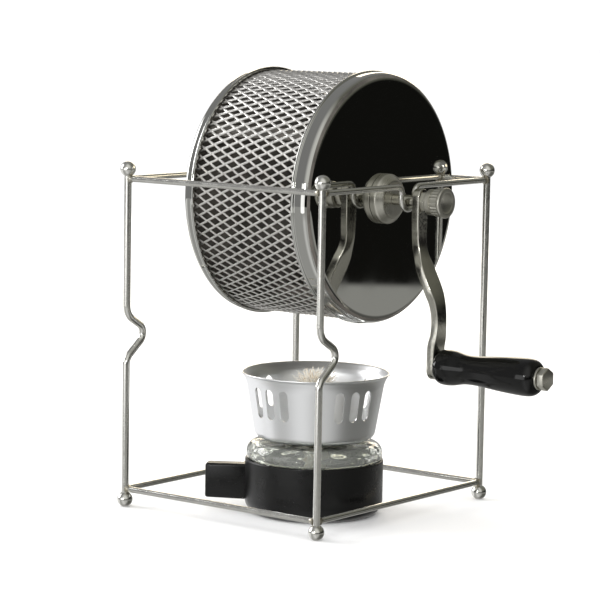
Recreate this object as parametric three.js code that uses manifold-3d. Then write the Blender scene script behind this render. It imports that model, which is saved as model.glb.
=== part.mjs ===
// Hand-cranked mini coffee roaster: a wire stand, a turning drum and an alcohol burner.
// Millimetres, +Z up. X is the drum's axis with the crank at +X, and -Y is the front.
// The origin is on the table, under the middle of the whole.
import * as THREE from 'three';
import { mergeVertices } from 'three/addons/utils/BufferGeometryUtils.js';
import Module from 'manifold-3d';

const wasm = await Module();
wasm.setup();

// Clearances
const gap = 0.3;
const cutOverrun = 2;

// Stand sizes
const crankSideRoom = 7.35;
const lidSideRoom = 20.95;
const drumSideRoom = 6.45;
const flameRoom = 24.33;
const postDiameter = 4;
const railDiameter = 3.3;
const ballDiameter = 8.6;
const footFlatDiameter = 3;
const topRailGap = 0.1;
const bottomRailGap = 0.62;
const kneeHeight = 93.5;
const kneePointReach = 18.2;
const kneeUpperRise = 10.5;
const kneeLowerDrop = 14;
const kneeLowerRadius = 7;
const kneePointRadius = 5.8;
const kneeUpperRadius = 9;
const dipDepth = 12.55;
const dipSideRoom = 1.55;
const dipShoulderRadius = 4.5;

// Drum sizes
const drumDiameter = 137.8;
const drumLength = 86;
const capThickness = 0.8;
const crankSkirtDepth = 11;
const crankCapCorner = 4.5;
const lidSkirtDepth = 7.5;
const lidCapCorner = 3;
const sleeveThickness = 1.2;
const meshStrandWidth = 1.4;
const meshBorder = 4.6;
const shaftDiameter = 6;
const shaftLidOverhang = 6.5;
const crankHubDiameter = 27.6;
const crankHubLength = 6.8;
const crankHubChamfer = 3.4;
const vaneHeight = 13;
const vaneFootWidth = 7;
const vaneThickness = 1;
const lidHubDiameter = 22;
const lidHubLength = 10;
const lidHubChamfer = 1;
const lidScrewDiameter = 4;
const lidScrewHeadDiameter = 8;
const lidScrewHeadLength = 5;
const lidScrewNeckLength = 3;

// Crank sizes
const crankRadius = 88.9;
const armStandOff = 8;
const armThickness = 4.8;
const armWidth = 12.2;
const armShaftEndWidth = 9;
const armGripEndWidth = 10.8;
const armShaftEndMargin = 7;
const armGripEndMargin = 7.5;
const armBulge = 14.3;
const armPadOffset = 12.7;
const armPadHeight = 16.5;
const lockNutWidth = 10;
const lockNutLength = 3.6;
const knobDiameter = 14.2;
const knobLength = 9.3;
const knobHeadLip = 1.15;
const knobHeadLength = 1.9;
const knobBoreDepth = 7;
const knobEdge = 0.8;
const knobDishDepth = 0.6;
const gripDiameter = 20.4;
const gripLength = 63.6;
const spindleDiameter = 5;
const spindleHeadDiameter = 7;
const spindleHeadLength = 0.9;
const washerDiameter = 12.2;
const washerThickness = 1.2;
const endNutWidth = 11;
const endNutLength = 4.3;
const endNutBoreDepth = 3;

// Burner sizes
const burnerRailRoom = 8.5;
const burnerY = -16.1;
const baseDiameter = 77;
const baseHeight = 30.3;
const baseFootRadius = 7.5;
const baseTopEdge = 0.8;
const baseWall = 2.9;
const baseFloor = 3;
const handleAngle = THREE.MathUtils.degToRad(209.5);
const handleReach = 61;
const handleThickness = 9;
const handleBottom = 5.6;
const handleTopDrop = 4.6;
const handleTipTaper = 0.3;
const handleCorner = 1.5;
const bowlWall = 2;
const bowlShoulderInset = 0.7;
const bowlShoulderHeight = 9.2;
const bowlShoulderRadius = 6;
const bowlFootRadius = 6;
const holderDiameter = 16.4;
const holderWall = 1.9;
const holderDepth = 4.5;
const holderRise = 26.1;
const holderFlangeSeat = 6;
const holderFlangeThickness = 1.5;
const wickTailGap = 2.7;
const wickRise = 15.3;
const wickTuftDiameter = 18;
const shieldWall = 0.8;
const shieldHoleRoom = 3.8;
const shieldHeight = 37;
const shieldFootDiameter = 66;
const shieldFootRadius = 4;
const shieldTopDiameter = 76.8;
const shieldLipReach = 3.1;
const shieldLipHeight = 5.6;
const slotWidth = 5.4;
const slotBottomRise = 13.3;
const slotTopDrop = 1.1;
const slotGroups = 4;
const slotsPerGroup = 3;
const firstGroupAngle = THREE.MathUtils.degToRad(-173);
const slotGroupAngle = THREE.MathUtils.degToRad(78);
const slotPitchAngle = THREE.MathUtils.degToRad(14.5);

// Facet counts
const wireSides = 10;
const bendSteps = 5;
const ballSides = 14;
const ballSteps = 7;
const drumSides = 48;
const meshAround = 52;
const meshRows = 7;
const cornerSteps = 3;
const smallTurnedSides = 24;
const gripSides = 24;
const burnerSides = 40;
const armSteps = 18;

// Worked out from the sizes above: radii
const quarterTurn = Math.PI / 2;
const postRadius = postDiameter / 2;
const railRadius = railDiameter / 2;
const ballRadius = ballDiameter / 2;
const shaftRadius = shaftDiameter / 2;
const drumRadius = drumDiameter / 2;
const baseRadius = baseDiameter / 2;
const holderRadius = holderDiameter / 2;

// The burner's heights, from the table up
const bowlBottom = baseFloor + gap;
const bowlSeat = baseHeight + gap;
const bowlTop = bowlSeat + bowlShoulderHeight;
const flangeBottom = bowlTop + gap;
const flangeTop = flangeBottom + holderFlangeThickness;
const holderTop = flangeTop + holderRise;
const wickTop = holderTop + wickRise;

// The drum hangs above the wick, and the rails' dips and the posts' balls follow its shaft
const axisHeight = wickTop + flameRoom + drumRadius;
const dipBottomHeight = axisHeight - shaftRadius - gap - railRadius;
const topRailHeight = dipBottomHeight + dipDepth;
const footBallHeight = Math.sqrt(ballRadius ** 2 - (footFlatDiameter / 2) ** 2);
const ballSeatRise = Math.sqrt(ballRadius ** 2 - postRadius ** 2);
const ballEdgeRise = Math.sqrt(ballRadius ** 2 - (postRadius + gap) ** 2);
const topBallHeight = topRailHeight + railRadius + topRailGap + ballEdgeRise;
const bottomRailHeight = footBallHeight + ballEdgeRise + bottomRailGap + railRadius;

// The stand is as wide as the drum, its collars and the room beside them
const crankSideReach = crankHubLength + crankSideRoom;
const lidSideReach = lidHubLength + lidSideRoom;
const halfX = (drumLength + 2 * gap + crankSideReach + lidSideReach) / 2 + railRadius;
const halfY = drumRadius + drumSideRoom + railRadius;
const drumShift = (lidSideReach - crankSideReach) / 2;
const burnerX = halfX - railRadius - burnerRailRoom - baseRadius;
const sleeveRadius = (drumRadius - capThickness) * Math.cos(Math.PI / drumSides) - gap;
const sleeveInnerRadius = sleeveRadius - sleeveThickness;
const sleeveStart = lidCapCorner - drumLength / 2;
const sleeveEnd = drumLength / 2 - crankCapCorner;

// Materials
const metal = (color, roughness) => new THREE.MeshStandardMaterial({ color, roughness, metalness: 1 });
const stainlessWire = metal('#c9c9c6', 0.22);
const stainlessMesh = metal('#bfbfb8', 0.35);
const mirrorSteel = metal('#cfcfcf', 0.06);
const chromedSteel = metal('#cbcbc8', 0.15);
const aluminium = metal('#c6c8cb', 0.38);
const blackPlastic = new THREE.MeshStandardMaterial({ color: '#151515', roughness: 0.28, metalness: 0 });
const cotton = new THREE.MeshStandardMaterial({ color: '#e6dcc8', roughness: 0.95, metalness: 0 });
const glass = new THREE.MeshStandardMaterial({ color: '#dfe5e4', roughness: 0.05, metalness: 0 });
glass.transparent = true;
glass.opacity = 0.4;

const roaster = new THREE.Group();

// Adds one named piece to its group
function piece(group, name, geometry, material) {
  const mesh = new THREE.Mesh(geometry, material);
  mesh.name = name;
  group.add(mesh);
  return mesh;
}

// Points of an arc about a centre, both ends included
function arc(centreU, centreV, radius, from, to, steps) {
  const points = [];
  for (let i = 0; i <= steps; i += 1) {
    const angle = from + ((to - from) * i) / steps;
    points.push([centreU + radius * Math.cos(angle), centreV + radius * Math.sin(angle)]);
  }
  return points;
}

// Turns a profile of [radius, height] pairs about Z
function turnedOnZ(profile, sides) {
  const points = profile.map(([radius, height]) => new THREE.Vector2(radius, height));
  return new THREE.LatheGeometry(points, sides).rotateX(quarterTurn);
}

// Turns a profile of [radius, distance] pairs about X
function turnedOnX(profile, sides) {
  const points = profile.map(([radius, distance]) => new THREE.Vector2(radius, distance));
  return new THREE.LatheGeometry(points, sides).rotateZ(-quarterTurn);
}

// A closed geometry as a solid that can be joined and cut
function solidOf(geometry) {
  const bare = geometry.clone();
  bare.deleteAttribute('normal');
  bare.deleteAttribute('uv');
  const welded = mergeVertices(bare);
  const corners = welded.index.array;
  const kept = [];
  for (let i = 0; i < corners.length; i += 3) {
    const [a, b, c] = [corners[i], corners[i + 1], corners[i + 2]];
    if (a !== b && b !== c && c !== a) kept.push(a, b, c);
  }
  return new wasm.Manifold(new wasm.Mesh({
    numProp: 3,
    vertProperties: welded.attributes.position.array,
    triVerts: Uint32Array.from(kept),
  }));
}

// A solid back as a geometry
function geometryOf(solid) {
  const mesh = solid.getMesh();
  const geometry = new THREE.BufferGeometry();
  geometry.setAttribute('position', new THREE.BufferAttribute(mesh.vertProperties, 3));
  geometry.setIndex(new THREE.BufferAttribute(mesh.triVerts, 1));
  geometry.computeVertexNormals();
  return geometry;
}

// A wire bent at its corners: straight runs joined by round bends.
// Its stations are the ends of the runs and the points of the bends.
class BentWire extends THREE.Curve {
  constructor(corners, bendRadii) {
    super();
    this.stations = [];
    const last = corners.length - 1;
    corners.forEach((corner, i) => {
      if (i === 0 || i === last) {
        const ends = i === 0 ? [corners[0], corners[1]] : [corners[last - 1], corners[last]];
        this.stations.push([corner.clone(), ends[1].clone().sub(ends[0]).normalize()]);
        return;
      }
      const inward = corner.clone().sub(corners[i - 1]).normalize();
      const outward = corners[i + 1].clone().sub(corner).normalize();
      const turn = inward.angleTo(outward);
      const radius = bendRadii[i - 1];
      const start = corner.clone().addScaledVector(inward, -radius * Math.tan(turn / 2));
      const side = outward.clone().addScaledVector(inward, -inward.dot(outward)).normalize();
      const centre = start.clone().addScaledVector(side, radius);
      for (let step = 0; step <= bendSteps; step += 1) {
        const angle = (turn * step) / bendSteps;
        const point = centre.clone()
          .addScaledVector(inward, radius * Math.sin(angle))
          .addScaledVector(side, -radius * Math.cos(angle));
        const heading = inward.clone().multiplyScalar(Math.cos(angle))
          .addScaledVector(side, Math.sin(angle));
        this.stations.push([point, heading]);
      }
    });
  }

  between(t, part, target) {
    const place = t * (this.stations.length - 1);
    const before = Math.min(Math.floor(place), this.stations.length - 2);
    return target.lerpVectors(this.stations[before][part], this.stations[before + 1][part], place - before);
  }

  getPoint(t, target = new THREE.Vector3()) {
    return this.between(t, 0, target);
  }

  getPointAt(u, target = new THREE.Vector3()) {
    return this.between(u, 0, target);
  }

  getTangent(t, target = new THREE.Vector3()) {
    return this.between(t, 1, target).normalize();
  }

  getTangentAt(u, target = new THREE.Vector3()) {
    return this.between(u, 1, target).normalize();
  }
}

function wire(corners, bendRadii, diameter) {
  const section = new THREE.Shape(
    arc(0, 0, diameter / 2, 0, 2 * Math.PI, wireSides).slice(1).map(([u, v]) => new THREE.Vector2(u, v)),
  );
  const path = new BentWire(corners.map((corner) => new THREE.Vector3(...corner)), bendRadii);
  return new THREE.ExtrudeGeometry(section, { steps: path.stations.length - 1, extrudePath: path });
}

// Stand: posts and their balls
const stand = new THREE.Group();
roaster.add(stand);

// A ball with a flat at each end, where it meets the post or the table
function ball(lowFlatRadius, highFlatRadius) {
  const from = -Math.acos(lowFlatRadius / ballRadius);
  const to = Math.acos(highFlatRadius / ballRadius);
  const round = arc(0, 0, ballRadius, from, to, ballSteps);
  return turnedOnZ([[0, round[0][1]], ...round, [0, round[ballSteps][1]]], ballSides);
}

const topBall = () => ball(postRadius, 0);
const footBall = () => ball(footFlatDiameter / 2, postRadius);

const postBottom = footBallHeight + ballSeatRise + gap;
const postTop = topBallHeight - ballSeatRise - gap;
const kneeZ = footBallHeight + kneeHeight;

function post(x, y, hasKnee) {
  if (!hasKnee) return wire([[x, y, postBottom], [x, y, postTop]], [], postDiameter);
  const corners = [
    [x, y, postBottom],
    [x, y, kneeZ - kneeLowerDrop],
    [x, y + kneePointReach, kneeZ],
    [x, y, kneeZ + kneeUpperRise],
    [x, y, postTop],
  ];
  return wire(corners, [kneeLowerRadius, kneePointRadius, kneeUpperRadius], postDiameter);
}

for (const [sideX, nameX] of [[1, 'crank'], [-1, 'lid']]) {
  for (const [sideY, nameY] of [[-1, 'front'], [1, 'back']]) {
    const x = sideX * halfX;
    const y = sideY * halfY;
    const corner = `${nameY}_${nameX}`;
    piece(stand, `post_${corner}`, post(x, y, sideY < 0), stainlessWire);
    piece(stand, `top_ball_${corner}`, topBall(), stainlessWire).position.set(x, y, topBallHeight);
    piece(stand, `foot_ball_${corner}`, footBall(), stainlessWire).position.set(x, y, footBallHeight);
  }
}

// Stand: rails, welded end-on to the posts
const railEndX = halfX - postRadius - gap;
const railEndY = halfY - postRadius - gap;
for (const [side, name] of [[-1, 'front'], [1, 'back']]) {
  for (const [z, level] of [[topRailHeight, 'top'], [bottomRailHeight, 'bottom']]) {
    const y = side * halfY;
    const run = wire([[-railEndX, y, z], [railEndX, y, z]], [], railDiameter);
    piece(stand, `${level}_rail_${name}`, run, stainlessWire);
  }
}

// The dip is a half circle at its bottom, with the rail's shoulders bent over to each side
const dipRadius = shaftRadius + dipSideRoom + railRadius;
function saddleRail(x) {
  const z = topRailHeight;
  const low = dipBottomHeight;
  const corners = [
    [x, -railEndY, z], [x, -dipRadius, z], [x, -dipRadius, low],
    [x, dipRadius, low], [x, dipRadius, z], [x, railEndY, z],
  ];
  return wire(corners, [dipShoulderRadius, dipRadius, dipRadius, dipShoulderRadius], railDiameter);
}

for (const [side, name] of [[1, 'crank'], [-1, 'lid']]) {
  const x = side * halfX;
  const z = bottomRailHeight;
  const run = wire([[x, -railEndY, z], [x, railEndY, z]], [], railDiameter);
  piece(stand, `saddle_rail_${name}`, saddleRail(x), stainlessWire);
  piece(stand, `bottom_rail_${name}`, run, stainlessWire);
}

// Drum: everything that turns, on an axis along X
const drum = new THREE.Group();
drum.position.set(0, 0, axisHeight);
roaster.add(drum);
const shell = new THREE.Group();
shell.position.set(drumShift, 0, 0);
drum.add(shell);
const boreRadius = shaftRadius + gap;

// The sleeve is a sheet with rows of diamond openings, each row half a diamond on from the last.
// It has fewer and larger diamonds than the real sheet. Column and row count half diamonds.
function meshSleeve() {
  const columns = 2 * meshAround;
  const halfAround = (Math.PI * sleeveRadius) / meshAround;
  const halfLong = (sleeveEnd - sleeveStart - 2 * meshBorder) / (meshRows + 1);
  const open = 1 - (meshStrandWidth * Math.hypot(halfLong, halfAround)) / (2 * halfLong * halfAround);
  const points = [];
  const faces = [];

  // A corner is a pair of points, one on the outside and one on the inside
  const corner = (x, column) => {
    const angle = (2 * Math.PI * column) / columns;
    const [y, z] = [Math.cos(angle), Math.sin(angle)];
    points.push(x, sleeveRadius * y, sleeveRadius * z, x, sleeveInnerRadius * y, sleeveInnerRadius * z);
    return points.length / 3 - 2;
  };

  // A patch has both faces of the sheet, and a wall along each of its edges that is named as open
  const patch = (corners, openEdges) => {
    for (let i = 2; i < corners.length; i += 1) {
      const [a, b, c] = [corners[0], corners[i - 1], corners[i]];
      faces.push(a, b, c, a + 1, c + 1, b + 1);
    }
    for (const edge of openEdges) {
      const [a, b] = [corners[edge], corners[(edge + 1) % corners.length]];
      faces.push(b, a, a + 1, b, a + 1, b + 1);
    }
  };

  const rim = (x) => Array.from({ length: columns }, (_, column) => corner(x, column));
  const [startRim, endRim] = [rim(sleeveStart), rim(sleeveEnd)];
  const rows = Array.from({ length: meshRows }, (_, row) => {
    const x = sleeveStart + meshBorder + halfLong * (row + 1);
    return Array.from({ length: meshAround }, (__, i) => {
      const column = 2 * i + (row % 2);
      return {
        column,
        up: corner(x + halfLong * open, column),
        down: corner(x - halfLong * open, column),
        left: corner(x, column - open),
        right: corner(x, column + open),
      };
    });
  });
  const hole = (row, i) => rows[row] && rows[row][(i + meshAround) % meshAround];
  for (let row = 0; row < meshRows; row += 1) {
    for (let i = 0; i < meshAround; i += 1) {
      const here = hole(row, i);
      const next = hole(row, i + 1);
      const above = hole(row + 1, i + (row % 2));
      const below = hole(row - 1, i + (row % 2));
      if (above) {
        const aboveLeft = hole(row + 1, i + (row % 2) - 1);
        patch([here.right, above.down, above.left, here.up], [1, 3]);
        patch([here.up, aboveLeft.right, aboveLeft.down, here.left], [1, 3]);
      }
      const knot = [here.right, below && below.up, next.left, above && above.down];
      patch(knot.filter((index) => index !== undefined), []);
      const [a, b, c] = [0, 1, 2].map((ahead) => (here.column + ahead) % columns);
      if (!below) {
        patch([startRim[a], startRim[b], here.right, here.down], [0, 2]);
        patch([startRim[b], startRim[c], next.down, next.left], [0, 2]);
        patch([startRim[b], next.left, here.right], []);
      }
      if (!above) {
        patch([here.up, here.right, endRim[b], endRim[a]], [0, 2]);
        patch([next.left, next.up, endRim[c], endRim[b]], [0, 2]);
        patch([here.right, next.left, endRim[b]], []);
      }
    }
  }
  const sheet = new THREE.BufferGeometry();
  sheet.setAttribute('position', new THREE.Float32BufferAttribute(points, 3));
  sheet.setIndex(faces);
  sheet.computeVertexNormals();
  return sheet;
}

piece(shell, 'drum_sleeve', meshSleeve(), stainlessMesh);

// An end cap pressed from sheet: a flat face, a round corner and a skirt over the sleeve
function endCap(skirtDepth, corner) {
  const face = drumLength / 2;
  const centre = drumRadius - corner;
  const inside = corner - capThickness;
  return turnedOnX([
    [boreRadius, face - capThickness],
    ...arc(centre, face - corner, inside, quarterTurn, 0, cornerSteps),
    [drumRadius - capThickness, face - skirtDepth],
    [drumRadius, face - skirtDepth],
    ...arc(centre, face - corner, corner, 0, quarterTurn, cornerSteps),
    [boreRadius, face],
    [boreRadius, face - capThickness],
  ], drumSides);
}

piece(shell, 'crank_end_cap', endCap(crankSkirtDepth, crankCapCorner), mirrorSteel);

// A collar on the shaft, its outer end chamfered
function collar(diameter, length, chamfer) {
  const start = drumLength / 2 + gap;
  return turnedOnX([
    [boreRadius, start], [diameter / 2, start], [diameter / 2, start + length - chamfer],
    [diameter / 2 - chamfer, start + length], [boreRadius, start + length], [boreRadius, start],
  ], smallTurnedSides);
}

piece(shell, 'crank_end_hub', collar(crankHubDiameter, crankHubLength, crankHubChamfer), chromedSteel);

// Lifting vanes: folded strips along the inside of the sleeve
const vaneOuterRadius = sleeveInnerRadius * Math.cos(Math.PI / drumSides) - gap;
const vaneFootDrop = vaneOuterRadius - Math.sqrt(vaneOuterRadius ** 2 - vaneFootWidth ** 2);
function vane() {
  const top = vaneOuterRadius - vaneFootDrop;
  const outline = new THREE.Shape([
    [0, top], [0, top - vaneHeight], [vaneThickness, top - vaneHeight],
    [vaneThickness, top - vaneThickness], [vaneFootWidth, top - vaneThickness], [vaneFootWidth, top],
  ].map(([u, v]) => new THREE.Vector2(u, v)));
  const strip = new THREE.ExtrudeGeometry(outline, { depth: sleeveEnd - sleeveStart, bevelEnabled: false });
  return strip.rotateX(quarterTurn).rotateZ(quarterTurn).translate(sleeveStart, 0, 0);
}

const vaneCount = 3;
for (let i = 0; i < vaneCount; i += 1) {
  const strip = piece(shell, `vane_${i + 1}`, vane(), stainlessMesh);
  strip.rotation.x = (2 * Math.PI * (i + 1 / 2)) / vaneCount;
}

// The shaft runs from beyond the lid-side rail into the thumb knob
const armX = halfX + armStandOff;
const lockNutX = armX + armThickness / 2 + gap;
const knobX = lockNutX + lockNutLength + gap;
const shaftStart = -halfX - shaftLidOverhang;
const shaftEnd = knobX + knobBoreDepth - gap;
piece(drum, 'drum_shaft', turnedOnX([
  [0, shaftStart], [shaftRadius, shaftStart], [shaftRadius, shaftEnd], [0, shaftEnd],
], smallTurnedSides), stainlessWire);

const spindleRadius = spindleDiameter / 2;
const spindleBore = spindleRadius + gap;

// Crank arm: a flat bar whose middle bulges away from the drum.
// Each pair is a share of the crank radius down from the shaft and a share of the bulge.
const armBendShares = [
  [0, 0], [0.17, 0], [0.26, 0.02], [0.33, 0.12], [0.39, 0.27], [0.45, 0.44],
  [0.52, 0.66], [0.6, 0.87], [0.67, 0.97], [0.75, 1], [0.82, 0.97],
];
// Each pair is a share of the crank radius down from the shaft and a share of the arm's greatest width.
const armWidthShares = [
  [0.15, 0.7], [0.26, 0.61], [0.33, 0.69], [0.385, 0.9], [0.44, 0.98], [0.5, 1], [0.56, 0.97],
  [0.6, 0.85], [0.65, 0.76], [0.71, 0.7], [0.77, 0.7], [0.82, 0.79], [0.87, 0.87],
];

function crankArm() {
  const padTop = -crankRadius + armPadHeight - armGripEndMargin;
  const bottom = -crankRadius - armGripEndMargin;
  const path = new THREE.SplineCurve([
    new THREE.Vector2(armX, armShaftEndMargin),
    ...armBendShares.map(([down, out]) => new THREE.Vector2(armX + armBulge * out, -crankRadius * down)),
    new THREE.Vector2(armX + armPadOffset, padTop),
  ]);
  const stations = path.getSpacedPoints(armSteps);
  stations.push(new THREE.Vector2(armX + armPadOffset, bottom));
  const left = [];
  const right = [];
  stations.forEach((station, i) => {
    const before = stations[Math.max(i - 1, 0)];
    const after = stations[Math.min(i + 1, stations.length - 1)];
    const along = after.clone().sub(before).normalize();
    const across = new THREE.Vector2(-along.y, along.x);
    left.push(station.clone().addScaledVector(across, armThickness / 2));
    right.unshift(station.clone().addScaledVector(across, -armThickness / 2));
  });
  const width = armWidth + 2 * cutOverrun;
  const profile = new THREE.Shape([...left, ...right]);
  const bent = new THREE.ExtrudeGeometry(profile, { depth: width, bevelEnabled: false })
    .rotateX(quarterTurn).translate(0, width / 2, 0);

  // The bar's outline seen along the shaft, with its two round ends
  const shaftEndRadius = armShaftEndWidth / 2;
  const gripEndRadius = armGripEndWidth / 2;
  const side = armWidthShares.map(([down, wide]) => [(armWidth / 2) * wide, -crankRadius * down]);
  const outline = [
    ...arc(0, armShaftEndMargin - shaftEndRadius, shaftEndRadius, 0, Math.PI, 2 * cornerSteps),
    ...side.map(([u, v]) => [-u, v]),
    ...arc(0, bottom + gripEndRadius, gripEndRadius, Math.PI, 2 * Math.PI, 2 * cornerSteps),
    ...side.reverse(),
  ];
  const reach = armThickness + armBulge + cutOverrun;
  const flat = new THREE.ExtrudeGeometry(
    new THREE.Shape(outline.map(([u, v]) => new THREE.Vector2(u, v))),
    { depth: 2 * reach, bevelEnabled: false },
  ).rotateX(quarterTurn).rotateZ(quarterTurn).translate(armX - reach, 0, 0);

  const bore = (radius, z) => solidOf(turnedOnX([
    [0, armX - reach], [radius, armX - reach], [radius, armX + reach], [0, armX + reach],
  ], smallTurnedSides).translate(0, 0, z));
  return geometryOf(solidOf(bent).intersect(solidOf(flat))
    .subtract(bore(boreRadius, 0))
    .subtract(bore(spindleBore, -crankRadius)));
}

piece(drum, 'crank_arm', crankArm(), chromedSteel);

// A hexagonal nut, its width given across the flats and its bore as deep as asked
const hexSides = 6;
function hexNut(width, length, bore, depth) {
  const corner = width / 2 / Math.cos(Math.PI / hexSides);
  const ring = arc(0, 0, corner, 0, 2 * Math.PI, hexSides).slice(1);
  const outline = new THREE.Shape(ring.map(([u, v]) => new THREE.Vector2(u, v)));
  const prism = new THREE.ExtrudeGeometry(outline, { depth: length, bevelEnabled: false })
    .rotateX(quarterTurn).rotateZ(quarterTurn);
  const hole = turnedOnX([
    [0, -cutOverrun], [bore, -cutOverrun], [bore, depth], [0, depth],
  ], smallTurnedSides);
  return geometryOf(solidOf(prism).subtract(solidOf(hole)));
}

// Lock nut, and the thumb knob that closes the shaft's end
const lockNut = hexNut(lockNutWidth, lockNutLength, boreRadius, lockNutLength + cutOverrun);
piece(drum, 'crank_lock_nut', lockNut, chromedSteel).position.set(lockNutX, 0, 0);

const knobHeadX = knobX + knobLength;
const knobEnd = knobHeadX + knobHeadLength;
const knobHeadRadius = knobDiameter / 2 + knobHeadLip;
piece(drum, 'crank_thumb_knob', turnedOnX([
  [0, knobX + knobBoreDepth], [boreRadius, knobX + knobBoreDepth], [boreRadius, knobX],
  [knobDiameter / 2 - knobEdge, knobX], [knobDiameter / 2, knobX + knobEdge],
  [knobDiameter / 2, knobHeadX], [knobHeadRadius, knobHeadX],
  [knobHeadRadius, knobEnd - knobEdge], [knobHeadRadius - knobEdge, knobEnd],
  [knobHeadRadius - 3 * knobEdge, knobEnd], [0, knobEnd - knobDishDepth],
], smallTurnedSides), chromedSteel);

// Spindle, grip, washer and end nut, on an axis one crank radius below the shaft
const crankFoot = new THREE.Group();
crankFoot.position.set(armX + armPadOffset, 0, -crankRadius);
drum.add(crankFoot);
const padHalf = armThickness / 2;
const gripStart = padHalf + gap;
const washerX = gripStart + gripLength + gap;
const endNutX = washerX + washerThickness + gap;
const spindleEnd = endNutX + endNutBoreDepth - gap;
const headEnd = -padHalf - gap;
const headStart = headEnd - spindleHeadLength;
piece(crankFoot, 'grip_spindle', turnedOnX([
  [0, headStart], [spindleHeadDiameter / 2, headStart], [spindleHeadDiameter / 2, headEnd],
  [spindleRadius, headEnd], [spindleRadius, spindleEnd], [0, spindleEnd],
], smallTurnedSides), chromedSteel);

// Each pair is a share of the grip's length and a share of its greatest radius
const gripShares = [
  [0, 0.66], [0.012, 0.8], [0.035, 0.9], [0.07, 0.945], [0.12, 0.95], [0.17, 0.915], [0.22, 0.85],
  [0.27, 0.795], [0.33, 0.775], [0.41, 0.79], [0.5, 0.84], [0.6, 0.9], [0.7, 0.95], [0.8, 0.985],
  [0.88, 1], [0.94, 0.97], [0.975, 0.87], [0.993, 0.74], [1, 0.64],
];
piece(crankFoot, 'crank_grip', turnedOnX([
  [spindleBore, gripStart],
  ...gripShares.map(([along, out]) => [(gripDiameter / 2) * out, gripStart + gripLength * along]),
  [spindleBore, gripStart + gripLength], [spindleBore, gripStart],
], gripSides), blackPlastic);

piece(crankFoot, 'grip_washer', turnedOnX([
  [spindleBore, washerX], [washerDiameter / 2, washerX], [washerDiameter / 2, washerX + washerThickness],
  [spindleBore, washerX + washerThickness], [spindleBore, washerX],
], smallTurnedSides), chromedSteel);

const endNutEnd = endNutX + endNutLength;
const endNut = hexNut(endNutWidth, endNutLength, spindleBore, endNutBoreDepth);
const endNutMesh = piece(crankFoot, 'grip_end_nut', endNut, chromedSteel);
endNutMesh.position.set(endNutX, 0, 0);
endNutMesh.rotation.x = Math.PI / hexSides;

// Lid: the far cap, which slides off along the shaft with its collar
const lid = new THREE.Group();
lid.rotation.z = Math.PI;
shell.add(lid);
piece(lid, 'lid_end_cap', endCap(lidSkirtDepth, lidCapCorner), mirrorSteel);

const lidScrewX = drumLength / 2 + gap + lidHubLength / 2;
const screwHoleRadius = lidScrewDiameter / 2 + gap;
function lidHub() {
  const hole = turnedOnZ([
    [0, 0], [screwHoleRadius, 0], [screwHoleRadius, lidHubDiameter], [0, lidHubDiameter],
  ], smallTurnedSides).translate(lidScrewX, 0, 0);
  const ring = solidOf(collar(lidHubDiameter, lidHubLength, lidHubChamfer));
  return geometryOf(ring.subtract(solidOf(hole)));
}

piece(lid, 'lid_hub', lidHub(), chromedSteel);

const screwNeckTop = lidHubDiameter / 2 + lidScrewNeckLength;
piece(lid, 'lid_thumb_screw', turnedOnZ([
  [0, boreRadius], [lidScrewDiameter / 2, boreRadius], [lidScrewDiameter / 2, screwNeckTop],
  [lidScrewHeadDiameter / 2, screwNeckTop], [lidScrewHeadDiameter / 2, screwNeckTop + lidScrewHeadLength],
  [0, screwNeckTop + lidScrewHeadLength],
], smallTurnedSides), chromedSteel).position.set(lidScrewX, 0, 0);

// Burner: its pieces stand one in the other on an axis of their own
const burner = new THREE.Group();
burner.position.set(burnerX, burnerY, 0);
roaster.add(burner);
const cupRadius = baseRadius - baseWall;

// The holder's block handle, seen from the side, a little taller at its root
function handleBlock() {
  const top = baseHeight - handleTopDrop;
  const corners = [
    [handleReach, handleBottom + handleTipTaper, -quarterTurn],
    [handleReach, top - handleTipTaper, 0],
  ];
  const outline = [[cupRadius, handleBottom]];
  for (const [u, v, from] of corners) {
    const centreU = u - handleCorner;
    const centreV = v + (from < 0 ? handleCorner : -handleCorner);
    outline.push(...arc(centreU, centreV, handleCorner, from, from + quarterTurn, cornerSteps));
  }
  outline.push([cupRadius, top]);
  return new THREE.ExtrudeGeometry(
    new THREE.Shape(outline.map(([u, v]) => new THREE.Vector2(u, v))),
    { depth: handleThickness, bevelEnabled: false },
  ).rotateX(quarterTurn).translate(0, handleThickness / 2, 0).rotateZ(handleAngle);
}

function burnerBase() {
  const body = turnedOnZ([
    [0, 0],
    ...arc(baseRadius - baseFootRadius, baseFootRadius, baseFootRadius, -quarterTurn, 0, 2 * cornerSteps),
    ...arc(baseRadius - baseTopEdge, baseHeight - baseTopEdge, baseTopEdge, 0, quarterTurn, cornerSteps),
    [0, baseHeight],
  ], burnerSides);
  const mouth = baseHeight + cutOverrun;
  const cup = turnedOnZ([
    [0, baseFloor], [cupRadius, baseFloor], [cupRadius, mouth], [0, mouth],
  ], burnerSides);
  return geometryOf(solidOf(body).add(solidOf(handleBlock())).subtract(solidOf(cup)));
}

piece(burner, 'burner_base', burnerBase(), blackPlastic);

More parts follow.
